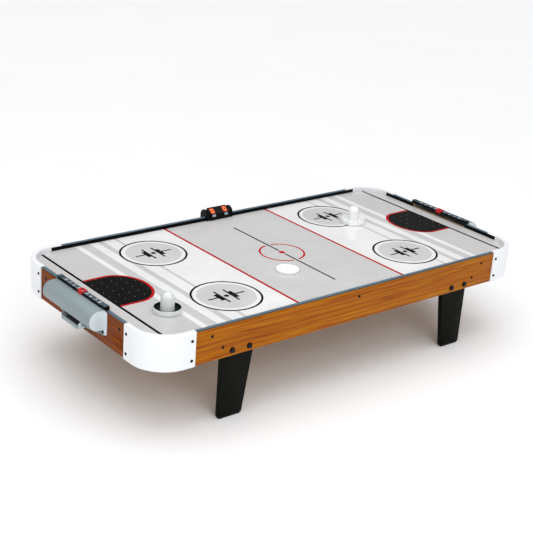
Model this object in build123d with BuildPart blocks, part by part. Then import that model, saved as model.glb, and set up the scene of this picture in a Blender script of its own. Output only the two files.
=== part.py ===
"""Tabletop air hockey table, 40 x 20 in, modelled as its separate pieces.

Frame: origin on the floor under the middle of the table, +X along the length,
+Y across towards the scorer side, +Z up. Millimetres. "left" is the -X end,
"right" the +X end, "front" the -Y side and "back" the +Y side.
"""

import os
from math import atan2, cos, hypot, pi, radians, sin

from build123d import *

os.makedirs("parts", exist_ok=True)

# ---------------------------------------------------------------- driving sizes
TABLE_L = 1016.0            # outer faces of the end aprons, 40 in
TABLE_W = 508.0             # outer faces of the side aprons, 20 in
PLAY_Z = 202.0              # playing surface
RAIL_TOP = 210.4            # top of the rail trim
APRON_T = 9.0               # apron board thickness
APRON_BOTTOM = 140.0        # underside of the aprons
CORNER_R = 70.0             # outer corner radius of the apron line
RAIL_T = 1.4                # rail trim wall
BOARD_T = 3.0               # playfield and bottom panel thickness
FIT = 0.3                   # gap round a loose panel
BORE_GAP = 0.1              # gap round a shank, radial

HALF_L = TABLE_L / 2
HALF_W = TABLE_W / 2
CORNER_X = HALF_L - CORNER_R
CORNER_Y = HALF_W - CORNER_R
INNER_X = HALF_L - APRON_T
INNER_Y = HALF_W - APRON_T
APRON_TOP = RAIL_TOP - RAIL_T
RAIL_LEG_BOTTOM = PLAY_Z - 0.8      # the rail's leg ends just under the surface
MOUTH_HALF = 88.0           # goal mouth, half width

# air chamber between the playfield and the bottom panel
BATTEN_T = 12.0
BOARD_BOTTOM = PLAY_Z - BOARD_T
PANEL_TOP = 171.0
PANEL_BOTTOM = PANEL_TOP - BOARD_T
BOARD_CORNER_R = 50.0
HOLE_PITCH = 22.3           # air hole grid
HOLE_R = 0.6
HOLE_COLUMNS = 44
HOLE_ROWS = 21

# corner guards
GUARD_SKIN = 2.0
GUARD_FLANGE_T = 1.6
GUARD_BOTTOM = 139.2
GUARD_LAP = 24.5            # straight lap past the end of the corner arc
GUARD_SCREW_IN = 8.5        # screw line in from the guard's edge
GUARD_SCREW_Z = (153.5, 194.0)
GUARD_CREST_FILLET = 1.4
WEB_ANGLES = (22.5, 45.0, 67.5)
WEB_T = 1.6
GUARD_SCREW_X = CORNER_X - GUARD_LAP + GUARD_SCREW_IN
GUARD_SCREW_Y = CORNER_Y - GUARD_LAP + GUARD_SCREW_IN

# legs, their bolts, washers and nuts
LEG_T = 12.0
LEG_OUTER = 341.7
LEG_FOOT_INNER = 287.1
LEG_TOP_INNER = 262.8
LEG_BACK_Y = INNER_Y - LEG_T
LEG_EDGE_FILLET = 0.8
PAD_H = 3.0
PAD_SHORT_X = 3.0           # how much shorter than the leg's foot a pad is
PAD_SHORT_Y = 1.6
BOLT_X = (284.3, 325.8)
BOLT_Z = 151.0
BOLT_R = 3.0
BOLT_HOLE_R = 3.2
BOLT_HEAD_R = 5.2
BOLT_HEAD_H = 3.0
BOLT_HEAD_FILLET = 1.6
BOLT_TAIL = 2.0             # bolt past the nut
SOCKET_R = 2.3
SOCKET_DEPTH = 2.0
WASHER_R = 6.2
WASHER_T = 1.0
NUT_ACROSS_FLATS = 10.0
NUT_H = 5.0

# screws through the aprons
BATTEN_SCREW_X = 375.4
BATTEN_SCREW_Y = 140.7
BATTEN_SCREW_Z = 192.0
BRACE_X = 348.7
BRACE_T = 12.0
BRACE_H = 16.0
BRACE_BORE = 12.0
BRACE_SCREW_Z = 162.6
LONG_SCREW = 20.0
SHORT_SCREW = 9.0
SCREW_R = 1.5
SCREW_HOLE_R = 1.6
SCREW_HEAD_R = 2.9
SCREW_HEAD_H = 1.2
SCREW_HEAD_TAPER = 20.0

# goal boxes: D-shaped hood, mounting flange and return tray
HOOD_TOP = 211.5
HOOD_R = 20.25
HOOD_CX = HALF_L + 14.5
HOOD_CZ = HOOD_TOP - HOOD_R
HOOD_HALF = 90.0
HOOD_WALL = 1.8
FLANGE_HALF = 98.0
FLANGE_BOTTOM = 160.5
FLANGE_TOP = 209.0
FLANGE_T = 2.0
FLANGE_CORNER_R = 5.0
HOOD_SCREW_Y = 86.0
HOOD_SCREW_Z = 165.7
TRAY_HALF = 33.5
TRAY_FRONT = HALF_L + 27.0
TRAY_BOTTOM = 154.5
TRAY_LIP_TOP = 162.5
TRAY_CORNER_R = 7.0
TRAY_GUSSET = 11.0          # the side walls slope back this far up to the hood
RETURN_TOP = 177.0          # top of the hand opening
RETURN_BACK = TRAY_FRONT - 8.0

# manual score bars and their sliding counters
BAR_X0 = INNER_X - 0.3
BAR_X1 = HALF_L + 2.0
BAR_Z0 = HOOD_TOP + 0.1
BAR_Z1 = 217.8
BAR_HALF = 91.0
BAR_END_BLOCK = 11.0
BAR_RUN = BAR_HALF - BAR_END_BLOCK
BAR_END_RISE = 1.0
BAR_PANEL_MARGIN = 1.2
BAR_PANEL_DEPTH = 0.4
BAR_FOOT_IN = 2.5           # length of the feet that stand on the end rails
GROOVE_Z0 = 213.8
GROOVE_Z1 = 215.4
GROOVE_DEPTH = 0.8
SLIDER_GAP = 0.2
SLIDER_WALL = 0.8
SLIDER_LEN = 16.0
SLIDER_TOP = 219.6
SLIDER_SKIRT_Z = BAR_Z0 + 0.6
SLIDER_FILLET = 1.0
WINDOW_X = 7.2
WINDOW_Y = 9.6

# electronic scorer: round-backed core over the rail, display box, end caps
SCORER_X = 6.2              # it stands a little off the table's middle
SCORER_HALF = 37.1
CORE_R = 13.0
CORE_Y = HALF_W + 0.2
CORE_Z = 212.5              # where the straight sides turn into the round top
CAP_R = 14.6
CAP_T = 3.0
CAP_FILLET = 1.2
DISPLAY_HALF = 26.8
SCORER_FRONT_Y = 240.0
SCORER_KNEE_Z = 217.5       # where the sloped face starts
SCORER_CREST_Y = 256.3
SCORER_CREST_Z = 228.3
SCORER_STEP_Y = 258.5       # back of the display box
SCORER_FRONT_BOTTOM = PLAY_Z + 0.6
SCORER_BACK_BOTTOM = 200.0
SCORER_WALL = 1.6
SCORER_SEAT = RAIL_TOP + BORE_GAP
SCORER_FLOOR = SCORER_SEAT + SCORER_WALL
RAIL_SLOT_Y0 = INNER_Y - BORE_GAP
RAIL_SLOT_Y1 = HALF_W + BORE_GAP
COVER_HALF = 24.0
COVER_T = 1.2
COVER_Z0 = 202.0
COVER_Z1 = 211.2
COVER_LEDGE = 1.5
FACE_RISE = SCORER_CREST_Z - SCORER_KNEE_Z
FACE_RUN = SCORER_CREST_Y - SCORER_FRONT_Y
RECLINE = atan2(FACE_RUN, FACE_RISE)
FACE = Plane(
    origin=(
        SCORER_X,
        (SCORER_FRONT_Y + SCORER_CREST_Y) / 2,
        (SCORER_KNEE_Z + SCORER_CREST_Z) / 2,
    ),
    x_dir=(1, 0, 0),
    z_dir=(0, -cos(RECLINE), sin(RECLINE)),
)
DIGIT_X = 17.85
DIGIT_W = 12.5
DIGIT_H = 15.5
DIGIT_RECESS = 0.4
DIGIT_T = 2.8
WINDOW_GAP = 0.2
WINDOW_DEPTH = 3.4
CIRCUIT_L = 49.6
CIRCUIT_H = 11.5
CIRCUIT_T = 1.2
BUTTON_X = 17.5
BUTTON_Z = 213.4
BUTTON_W = 9.0
BUTTON_H = 5.6
BUTTON_PROUD = 1.2
BUTTON_INSIDE = 1.8
BUTTON_HOLE_DEPTH = 4.0
BUTTON_CORNER_R = 1.2
BUTTON_FILLET = 0.5

# fan under the middle
FAN_SIZE = 92.0
FAN_H = 25.0
FAN_Z0 = PANEL_BOTTOM - FAN_H
FAN_BORE_R = 44.0
FAN_CORNER_R = 5.0
FAN_FLANGE_T = 4.0
FAN_WAIST_DEPTH = 0.8
FAN_WAIST_L = 66.0
FAN_SCREW_PITCH = 82.5
FAN_SCREW_R = 2.0
FAN_SCREW_HEAD_R = 3.6
FAN_SCREW_HEAD_H = 1.2
FAN_SCREW_TAIL = 3.0
MOTOR_BASE_R = 17.0
MOTOR_BASE_T = 3.0
STRUT_W = 3.0
BEARING_R = 4.0
BEARING_H = 15.0
STATOR_R = 13.5
STATOR_Z0 = FAN_Z0 + 6.0
STATOR_H = 9.0
STATOR_SLOT_R = 11.5
STATOR_SLOT = (5.0, 3.0)
HUB_R = 18.0
HUB_WALL = 2.0
HUB_Z0 = FAN_Z0 + 5.0
HUB_Z1 = FAN_Z0 + 21.0
BLADE_COUNT = 7
BLADE_ROOT = (HUB_R - 1.5, 13.0, 1.8, 42.0)     # radius, chord, thickness, pitch
BLADE_TIP = (41.5, 19.0, 1.3, 26.0)
SHAFT_R = 1.5
SHAFT_GAP = 0.05
GRILLE_T = 2.2
GRILLE_Z0 = FAN_Z0 - GRILLE_T
GRILLE_RINGS = (14, 22, 30, 38)
GRILLE_BAR = 2.0
GRILLE_HUB_R = 6.0

# power switch and inlet on the back apron
SWITCH_X = 150.0
SWITCH_Z = 154.0
SWITCH_BODY_L = 19.0
SWITCH_BODY_H = 12.8
SWITCH_BODY_DEPTH = 20.0
SWITCH_BODY_GAP = 0.2
SWITCH_BEZEL_L = 21.0
SWITCH_BEZEL_H = 15.0
SWITCH_BEZEL_T = 1.8
SWITCH_WELL_DEPTH = 6.0
TERMINAL_X = 5.0
TERMINAL_L = 8.0
TERMINAL_T = 0.8
TERMINAL_H = 4.8
ROCKER_L = 15.6
ROCKER_H = 9.6
ROCKER_BELOW = 2.4          # under the pivot
ROCKER_ENDS = 2.6           # the ends above the pivot
ROCKER_MIDDLE = 1.4         # the dished middle above the pivot
ROCKER_TILT = 7.0           # each way from level
ROCKER_PIVOT_Y = HALF_W - 0.5
JACK_X = 190.0
JACK_BODY_R = 5.4
JACK_BODY_DEPTH = 15.0
JACK_FLANGE_R = 7.0
JACK_FLANGE_T = 1.8
JACK_BORE_R = 2.9
JACK_BORE_DEPTH = 8.0
JACK_PIN_R = 1.0
JACK_PIN_OUT = 0.6

# puck and strikers, on the air film
AIR_FILM = 0.3
PUCK_R = 25.4
PUCK_H = 5.0
PUCK_FILLET = 0.9
PUCK_AT = (-58.0, -89.0)
STRIKERS = {"left": (-397.0, -135.5), "right": (277.7, 70.6)}
STRIKER_R = 28.7
STRIKER_RIM_H = 10.0
STRIKER_RIM_T = 1.5
STRIKER_FLOOR = 2.2
KNOB_TOP_R = 13.4
KNOB_BASE_R = 14.2
KNOB_H = 41.0
FELT_R = 25.0
FELT_T = 1.0
FELT_STANDS_OUT = 0.3


def save(piece, name):
    """Label a finished piece and write its STEP file."""
    piece.part.label = name
    export_step(piece.part, f"parts/{name}.step")


def save_quadrants(master, stem):
    """Write four mirrored copies of a piece made in the +X +Y quadrant."""
    for side, flip_y in (("back", False), ("front", True)):
        for end, flip_x in (("right", False), ("left", True)):
            with BuildPart() as copy:
                add(master)
                if flip_x:
                    mirror(about=Plane.YZ, mode=Mode.REPLACE)
                if flip_y:
                    mirror(about=Plane.XZ, mode=Mode.REPLACE)
            save(copy, f"{stem}_{side}_{end}")


def save_ends(master, stem):
    """Write the right-hand piece and its mirrored left-hand twin."""
    for end, flip in (("right", False), ("left", True)):
        with BuildPart() as copy:
            add(master)
            if flip:
                mirror(about=Plane.YZ, mode=Mode.REPLACE)
        save(copy, f"{stem}_{end}")


def save_sides(master, stem):
    """Write the back piece and its mirrored front twin."""
    for side, flip in (("back", False), ("front", True)):
        with BuildPart() as copy:
            add(master)
            if flip:
                mirror(about=Plane.XZ, mode=Mode.REPLACE)
        save(copy, f"{stem}_{side}")


def y_plane(y):
    """A plane facing +Y at depth y: sketch x is -X, sketch y is Z."""
    return Plane(origin=(0, y, 0), x_dir=(-1, 0, 0), z_dir=(0, 1, 0))


def x_plane(x):
    """A plane facing +X at x: sketch x is Y, sketch y is Z."""
    return Plane(origin=(x, 0, 0), x_dir=(0, 1, 0), z_dir=(1, 0, 0))


def block(x0, x1, y0, y1, z0, z1, mode=Mode.ADD):
    """An axis-aligned box between two corners, in the current part."""
    with BuildSketch(Plane.XY.offset(z0)) as outline:
        with Locations(((x0 + x1) / 2, (y0 + y1) / 2)):
            Rectangle(x1 - x0, y1 - y0)
    extrude(outline.sketch, amount=z1 - z0, mode=mode)


def bore_y(x, z, radius, y0, y1, mode=Mode.SUBTRACT):
    """A round bar or hole along Y from y0 to y1."""
    with BuildSketch(y_plane(y0)) as outline:
        with Locations((-x, z)):
            Circle(radius)
    extrude(outline.sketch, amount=y1 - y0, mode=mode)


def bore_x(y, z, radius, x0, x1, mode=Mode.SUBTRACT):
    """A round bar or hole along X from x0 to x1."""
    with BuildSketch(x_plane(x0)) as outline:
        with Locations((y, z)):
            Circle(radius)
    extrude(outline.sketch, amount=x1 - x0, mode=mode)


def corner_strip(r_in, r_out, z0, z1, lap):
    """A strip that follows the rounded corner in the +X +Y quadrant."""
    with BuildSketch(Plane.XY.offset(z0)) as outline:
        with BuildLine():
            CenterArc((CORNER_X, CORNER_Y), r_out, 0, 90)
            Line((CORNER_X, CORNER_Y + r_out), (CORNER_X - lap, CORNER_Y + r_out))
            Line((CORNER_X - lap, CORNER_Y + r_out), (CORNER_X - lap, CORNER_Y + r_in))
            Line((CORNER_X - lap, CORNER_Y + r_in), (CORNER_X, CORNER_Y + r_in))
            CenterArc((CORNER_X, CORNER_Y), r_in, 0, 90)
            Line((CORNER_X + r_in, CORNER_Y), (CORNER_X + r_in, CORNER_Y - lap))
            Line((CORNER_X + r_in, CORNER_Y - lap), (CORNER_X + r_out, CORNER_Y - lap))
            Line((CORNER_X + r_out, CORNER_Y - lap), (CORNER_X + r_out, CORNER_Y))
        make_face()
    extrude(outline.sketch, amount=z1 - z0)


def corner_sector(r_in, r_out, z0, z1):
    """A quarter ring about the corner centre in the +X +Y quadrant."""
    with BuildSketch(Plane.XY.offset(z0)) as outline:
        with BuildLine():
            CenterArc((CORNER_X, CORNER_Y), r_out, 0, 90)
            Line((CORNER_X, CORNER_Y + r_out), (CORNER_X, CORNER_Y + r_in))
            CenterArc((CORNER_X, CORNER_Y), r_in, 0, 90)
            Line((CORNER_X + r_in, CORNER_Y), (CORNER_X + r_out, CORNER_Y))
        make_face()
    extrude(outline.sketch, amount=z1 - z0)


def from_corner_lines(x, y):
    """Distance out past the lines through the corner centres, +X +Y quadrant."""
    return hypot(max(x - CORNER_X, 0), max(y - CORNER_Y, 0))


# ------------------------------------------------------- playfield and chamber
def make_playfield():
    # no holes where the board lies on the corner blocks
    chamber_r = CORNER_R - APRON_T - BATTEN_T - HOLE_R
    columns = [(i - (HOLE_COLUMNS - 1) / 2) * HOLE_PITCH for i in range(HOLE_COLUMNS)]
    rows = [(j - (HOLE_ROWS - 1) / 2) * HOLE_PITCH for j in range(HOLE_ROWS)]
    holes = [(x, y) for x in columns for y in rows if from_corner_lines(abs(x), abs(y)) < chamber_r]
    with BuildPart() as playfield:
        with BuildSketch(Plane.XY.offset(BOARD_BOTTOM)):
            RectangleRounded(2 * (INNER_X - FIT), 2 * (INNER_Y - FIT), BOARD_CORNER_R)
            with Locations(*holes):
                Circle(HOLE_R, mode=Mode.SUBTRACT)
        extrude(amount=BOARD_T)
    save(playfield, "playfield_board")


def make_bottom_panel():
    with BuildPart() as panel:
        with BuildSketch(Plane.XY.offset(PANEL_BOTTOM)):
            RectangleRounded(2 * (INNER_X - FIT), 2 * (INNER_Y - FIT), BOARD_CORNER_R)
            Circle(FAN_BORE_R, mode=Mode.SUBTRACT)
            with GridLocations(FAN_SCREW_PITCH, FAN_SCREW_PITCH, 2, 2):
                Circle(FAN_SCREW_R + BORE_GAP, mode=Mode.SUBTRACT)
        extrude(amount=BOARD_T)
    save(panel, "bottom_panel")


def make_battens():
    with BuildPart() as side_batten:
        block(-CORNER_X, CORNER_X, INNER_Y - BATTEN_T, INNER_Y, PANEL_TOP, BOARD_BOTTOM)
        for x in (-BATTEN_SCREW_X, 0, BATTEN_SCREW_X):
            bore_y(x, BATTEN_SCREW_Z, SCREW_HOLE_R, INNER_Y - BATTEN_T, INNER_Y)
    save_sides(side_batten.part, "side_batten")

    with BuildPart() as end_batten:
        block(INNER_X - BATTEN_T, INNER_X, -CORNER_Y, CORNER_Y, PANEL_TOP, BOARD_BOTTOM)
        for y in (-BATTEN_SCREW_Y, BATTEN_SCREW_Y):
            bore_x(y, BATTEN_SCREW_Z, SCREW_HOLE_R, INNER_X - BATTEN_T, INNER_X)
    save_ends(end_batten.part, "end_batten")

    ring_out = CORNER_R - APRON_T
    with BuildPart() as corner_blocks:
        corner_sector(ring_out - BATTEN_T, ring_out, PANEL_TOP, BOARD_BOTTOM)
        mirror(about=Plane.YZ)
        mirror(about=Plane.XZ)
    save(corner_blocks, "corner_blocks")


def make_cross_braces():
    with BuildPart() as brace:
        block(
            BRACE_X - BRACE_T / 2, BRACE_X + BRACE_T / 2,
            -INNER_Y, INNER_Y,
            PANEL_BOTTOM - BRACE_H, PANEL_BOTTOM,
        )
        bore_y(BRACE_X, BRACE_SCREW_Z, SCREW_HOLE_R, INNER_Y - BRACE_BORE, INNER_Y)
        bore_y(BRACE_X, BRACE_SCREW_Z, SCREW_HOLE_R, -INNER_Y, -INNER_Y + BRACE_BORE)
    save_ends(brace.part, "cross_brace")


# --------------------------------------------------------------- aprons, rails
def side_apron_blank():
    """Back side apron with its rail rebate, bolt holes and screw holes."""
    block(-CORNER_X, CORNER_X, INNER_Y, HALF_W, APRON_BOTTOM, APRON_TOP)
    block(
        -CORNER_X, CORNER_X, INNER_Y, INNER_Y + RAIL_T,
        RAIL_LEG_BOTTOM, APRON_TOP, mode=Mode.SUBTRACT,
    )
    for sign in (-1, 1):
        for x in BOLT_X:
            bore_y(sign * x, BOLT_Z, BOLT_HOLE_R, INNER_Y, HALF_W)
        for z in GUARD_SCREW_Z:
            bore_y(sign * GUARD_SCREW_X, z, SCREW_HOLE_R, INNER_Y + RAIL_T, HALF_W)
        bore_y(sign * BRACE_X, BRACE_SCREW_Z, SCREW_HOLE_R, INNER_Y, HALF_W)
        bore_y(sign * BATTEN_SCREW_X, BATTEN_SCREW_Z, SCREW_HOLE_R, INNER_Y, HALF_W)
    bore_y(0, BATTEN_SCREW_Z, SCREW_HOLE_R, INNER_Y, HALF_W)


def make_side_aprons():
    with BuildPart() as front:
        side_apron_blank()
        mirror(about=Plane.XZ, mode=Mode.REPLACE)
    save(front, "side_apron_front")

    with BuildPart() as back:
        side_apron_blank()
        reach_x = SWITCH_BODY_L / 2 + SWITCH_BODY_GAP
        reach_z = SWITCH_BODY_H / 2 + SWITCH_BODY_GAP
        block(
            SWITCH_X - reach_x, SWITCH_X + reach_x, INNER_Y, HALF_W,
            SWITCH_Z - reach_z, SWITCH_Z + reach_z, mode=Mode.SUBTRACT,
        )
        bore_y(JACK_X, SWITCH_Z, JACK_BODY_R + BORE_GAP, INNER_Y, HALF_W)
    save(back, "side_apron_back")


def make_end_aprons():
    with BuildPart() as end_apron:
        block(INNER_X, HALF_L, -CORNER_Y, CORNER_Y, APRON_BOTTOM, APRON_TOP)
        block(
            INNER_X, INNER_X + RAIL_T, -CORNER_Y, CORNER_Y,
            RAIL_LEG_BOTTOM, APRON_TOP, mode=Mode.SUBTRACT,
        )
        block(
            INNER_X, HALF_L, -MOUTH_HALF, MOUTH_HALF,
            PLAY_Z, APRON_TOP, mode=Mode.SUBTRACT,
        )
        for sign in (-1, 1):
            for z in GUARD_SCREW_Z:
                bore_x(sign * GUARD_SCREW_Y, z, SCREW_HOLE_R, INNER_X + RAIL_T, HALF_L)
            bore_x(sign * BATTEN_SCREW_Y, BATTEN_SCREW_Z, SCREW_HOLE_R, INNER_X, HALF_L)
            bore_x(sign * HOOD_SCREW_Y, HOOD_SCREW_Z, SCREW_HOLE_R, INNER_X, HALF_L)
    save_ends(end_apron.part, "end_apron")


def make_rails():
    with BuildPart() as side_rail:
        block(-CORNER_X, CORNER_X, INNER_Y, HALF_W, APRON_TOP, RAIL_TOP)
        block(
            -CORNER_X, CORNER_X, INNER_Y, INNER_Y + RAIL_T,
            RAIL_LEG_BOTTOM, APRON_TOP,
        )
    save_sides(side_rail.part, "side_rail")

    with BuildPart() as end_rails:
        block(INNER_X, HALF_L, MOUTH_HALF, CORNER_Y, APRON_TOP, RAIL_TOP)
        block(
            INNER_X, INNER_X + RAIL_T, MOUTH_HALF, CORNER_Y,
            RAIL_LEG_BOTTOM, APRON_TOP,
        )
        mirror(about=Plane.XZ)
    save_ends(end_rails.part, "end_rails")


# --------------------------------------------------------------- corner guards
def make_guards():
    outer = CORNER_R + GUARD_SKIN
    inner = CORNER_R - APRON_T
    with BuildPart() as guard:
        corner_strip(CORNER_R, outer, GUARD_BOTTOM, RAIL_TOP, GUARD_LAP)
        corner_strip(inner, outer, RAIL_TOP, RAIL_TOP + GUARD_FLANGE_T, GUARD_LAP)
        corner_sector(inner, inner + GUARD_SKIN, PLAY_Z, RAIL_TOP)
        # stiffening webs between the inner wall and the skin
        for angle in WEB_ANGLES:
            web = Plane(
                origin=(CORNER_X, CORNER_Y, PLAY_Z),
                x_dir=(cos(radians(angle)), sin(radians(angle)), 0),
                z_dir=(0, 0, 1),
            )
            with BuildSketch(web):
                with Locations(((inner + outer) / 2, 0)):
                    Rectangle(APRON_T, WEB_T)
            extrude(amount=RAIL_TOP - PLAY_Z)
        crest = guard.edges().filter_by(Plane.XY).group_by(Axis.Z)[-1]
        middles = [(edge, edge @ 0.5) for edge in crest]
        outer_crest = [edge for edge, at in middles if from_corner_lines(at.X, at.Y) > outer - BORE_GAP]
        fillet(outer_crest, GUARD_CREST_FILLET)
        for z in GUARD_SCREW_Z:
            bore_y(GUARD_SCREW_X, z, SCREW_HOLE_R, HALF_W, HALF_W + GUARD_SKIN)
            bore_x(GUARD_SCREW_Y, z, SCREW_HOLE_R, HALF_L, HALF_L + GUARD_SKIN)
    save_quadrants(guard.part, "corner_guard")


# -------------------------------------------------------------------- fasteners
def screw_out_y(x, y_face, z, length):
    """A pan-head screw that enters a +Y facing face."""
    with BuildSketch(y_plane(y_face)) as outline:
        with Locations((-x, z)):
            Circle(SCREW_HEAD_R)
    extrude(outline.sketch, amount=SCREW_HEAD_H, taper=SCREW_HEAD_TAPER)
    bore_y(x, z, SCREW_R, y_face - length, y_face + SCREW_HEAD_H / 2, mode=Mode.ADD)


def screw_out_x(y, x_face, z, length):
    """A pan-head screw that enters a +X facing face."""
    with BuildSketch(x_plane(x_face)) as outline:
        with Locations((y, z)):
            Circle(SCREW_HEAD_R)
    extrude(outline.sketch, amount=SCREW_HEAD_H, taper=SCREW_HEAD_TAPER)
    bore_x(y, z, SCREW_R, x_face - length, x_face + SCREW_HEAD_H / 2, mode=Mode.ADD)


def make_screws():
    with BuildPart() as guard_screws:
        for z in GUARD_SCREW_Z:
            screw_out_y(GUARD_SCREW_X, HALF_W + GUARD_SKIN, z, SHORT_SCREW)
            screw_out_x(GUARD_SCREW_Y, HALF_L + GUARD_SKIN, z, SHORT_SCREW)
        mirror(about=Plane.YZ)
        mirror(about=Plane.XZ)
    save(guard_screws, "guard_screws")

    with BuildPart() as batten_screws:
        for x in (-BATTEN_SCREW_X, 0, BATTEN_SCREW_X):
            screw_out_y(x, HALF_W, BATTEN_SCREW_Z, LONG_SCREW)
        mirror(about=Plane.XZ)
        for y in (-BATTEN_SCREW_Y, BATTEN_SCREW_Y):
            screw_out_x(y, HALF_L, BATTEN_SCREW_Z, LONG_SCREW)
        mirror(about=Plane.YZ)
    save(batten_screws, "batten_screws")

    with BuildPart() as brace_screws:
        screw_out_y(BRACE_X, HALF_W, BRACE_SCREW_Z, LONG_SCREW)
        mirror(about=Plane.YZ)
        mirror(about=Plane.XZ)
    save(brace_screws, "brace_screws")


def make_leg_fixings():
    head_base = HALF_W + WASHER_T
    nut_back = LEG_BACK_Y - WASHER_T - NUT_H
    with BuildPart() as bolts:
        for x in BOLT_X:
            bore_y(x, BOLT_Z, BOLT_HEAD_R, head_base, head_base + BOLT_HEAD_H, mode=Mode.ADD)
            bore_y(x, BOLT_Z, BOLT_R, nut_back - BOLT_TAIL, head_base, mode=Mode.ADD)
        fillet(bolts.edges().group_by(Axis.Y)[-1], BOLT_HEAD_FILLET)
        # hexagon sockets
        for x in BOLT_X:
            with BuildSketch(y_plane(head_base + BOLT_HEAD_H)):
                with Locations((-x, BOLT_Z)):
                    RegularPolygon(SOCKET_R, 6)
            extrude(amount=-SOCKET_DEPTH, mode=Mode.SUBTRACT)
        mirror(about=Plane.YZ)
        mirror(about=Plane.XZ)
    save(bolts, "leg_bolts")

    with BuildPart() as washers:
        for x in BOLT_X:
            for y in (HALF_W, LEG_BACK_Y - WASHER_T):
                bore_y(x, BOLT_Z, WASHER_R, y, y + WASHER_T, mode=Mode.ADD)
                bore_y(x, BOLT_Z, BOLT_HOLE_R, y, y + WASHER_T)
        mirror(about=Plane.YZ)
        mirror(about=Plane.XZ)
    save(washers, "leg_washers")

    with BuildPart() as nuts:
        for x in BOLT_X:
            with BuildSketch(y_plane(nut_back)):
                with Locations((-x, BOLT_Z)):
                    RegularPolygon(NUT_ACROSS_FLATS / 2, 6, major_radius=False)
                    Circle(BOLT_R + SHAFT_GAP, mode=Mode.SUBTRACT)
            extrude(amount=NUT_H)
        mirror(about=Plane.YZ)
        mirror(about=Plane.XZ)
    save(nuts, "leg_nuts")


# ------------------------------------------------------------------------- legs
def make_legs():
    with BuildPart() as leg:
        with BuildSketch(y_plane(LEG_BACK_Y)):
            with BuildLine():
                Polyline(
                    (-LEG_FOOT_INNER, PAD_H), (-LEG_OUTER, PAD_H),
                    (-LEG_OUTER, PANEL_BOTTOM), (-LEG_TOP_INNER, PANEL_BOTTOM),
                    close=True,
                )
            make_face()
            with Locations(*[(-x, BOLT_Z) for x in BOLT_X]):
                Circle(BOLT_HOLE_R, mode=Mode.SUBTRACT)
        extrude(amount=LEG_T)
        fillet(leg.edges().group_by(Axis.Z)[0], LEG_EDGE_FILLET)
    save_quadrants(leg.part, "leg")

    foot_l = LEG_OUTER - LEG_FOOT_INNER
    with BuildPart() as pads:
        with BuildSketch(Plane.XY):
            with Locations((LEG_OUTER - foot_l / 2, INNER_Y - LEG_T / 2)):
                RectangleRounded(foot_l - PAD_SHORT_X, LEG_T - PAD_SHORT_Y, 2)
        extrude(amount=PAD_H)
        mirror(about=Plane.YZ)
        mirror(about=Plane.XZ)
    save(pads, "foot_pads")


# ------------------------------------------------------------------- goal boxes
def hood_profile(radius, x_back, half_width, mode=Mode.ADD):
    """The D-shaped hood section, swept across the goal."""
    across = Plane(origin=(0, half_width, 0), x_dir=(1, 0, 0), z_dir=(0, -1, 0))
    with BuildSketch(across) as outline:
        with BuildLine():
            Line((x_back, HOOD_CZ + radius), (HOOD_CX, HOOD_CZ + radius))
            CenterArc((HOOD_CX, HOOD_CZ), radius, -90, 180)
            Line((HOOD_CX, HOOD_CZ - radius), (x_back, HOOD_CZ - radius))
            Line((x_back, HOOD_CZ - radius), (x_back, HOOD_CZ + radius))
        make_face()
    extrude(outline.sketch, amount=2 * half_width, mode=mode)


def tray_block(x_front, half, corner_r, z0, z1, mode=Mode.ADD):
    """A block in front of the end apron, its two front corners rounded in plan."""
    with BuildSketch(Plane.XY.offset(z0)) as outline:
        with BuildLine():
            Line((HALF_L, -half), (x_front - corner_r, -half))
            CenterArc((x_front - corner_r, -half + corner_r), corner_r, -90, 90)
            Line((x_front, -half + corner_r), (x_front, half - corner_r))
            CenterArc((x_front - corner_r, half - corner_r), corner_r, 0, 90)
            Line((x_front - corner_r, half), (HALF_L, half))
            Line((HALF_L, half), (HALF_L, -half))
        make_face()
    extrude(outline.sketch, amount=z1 - z0, mode=mode)


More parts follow.
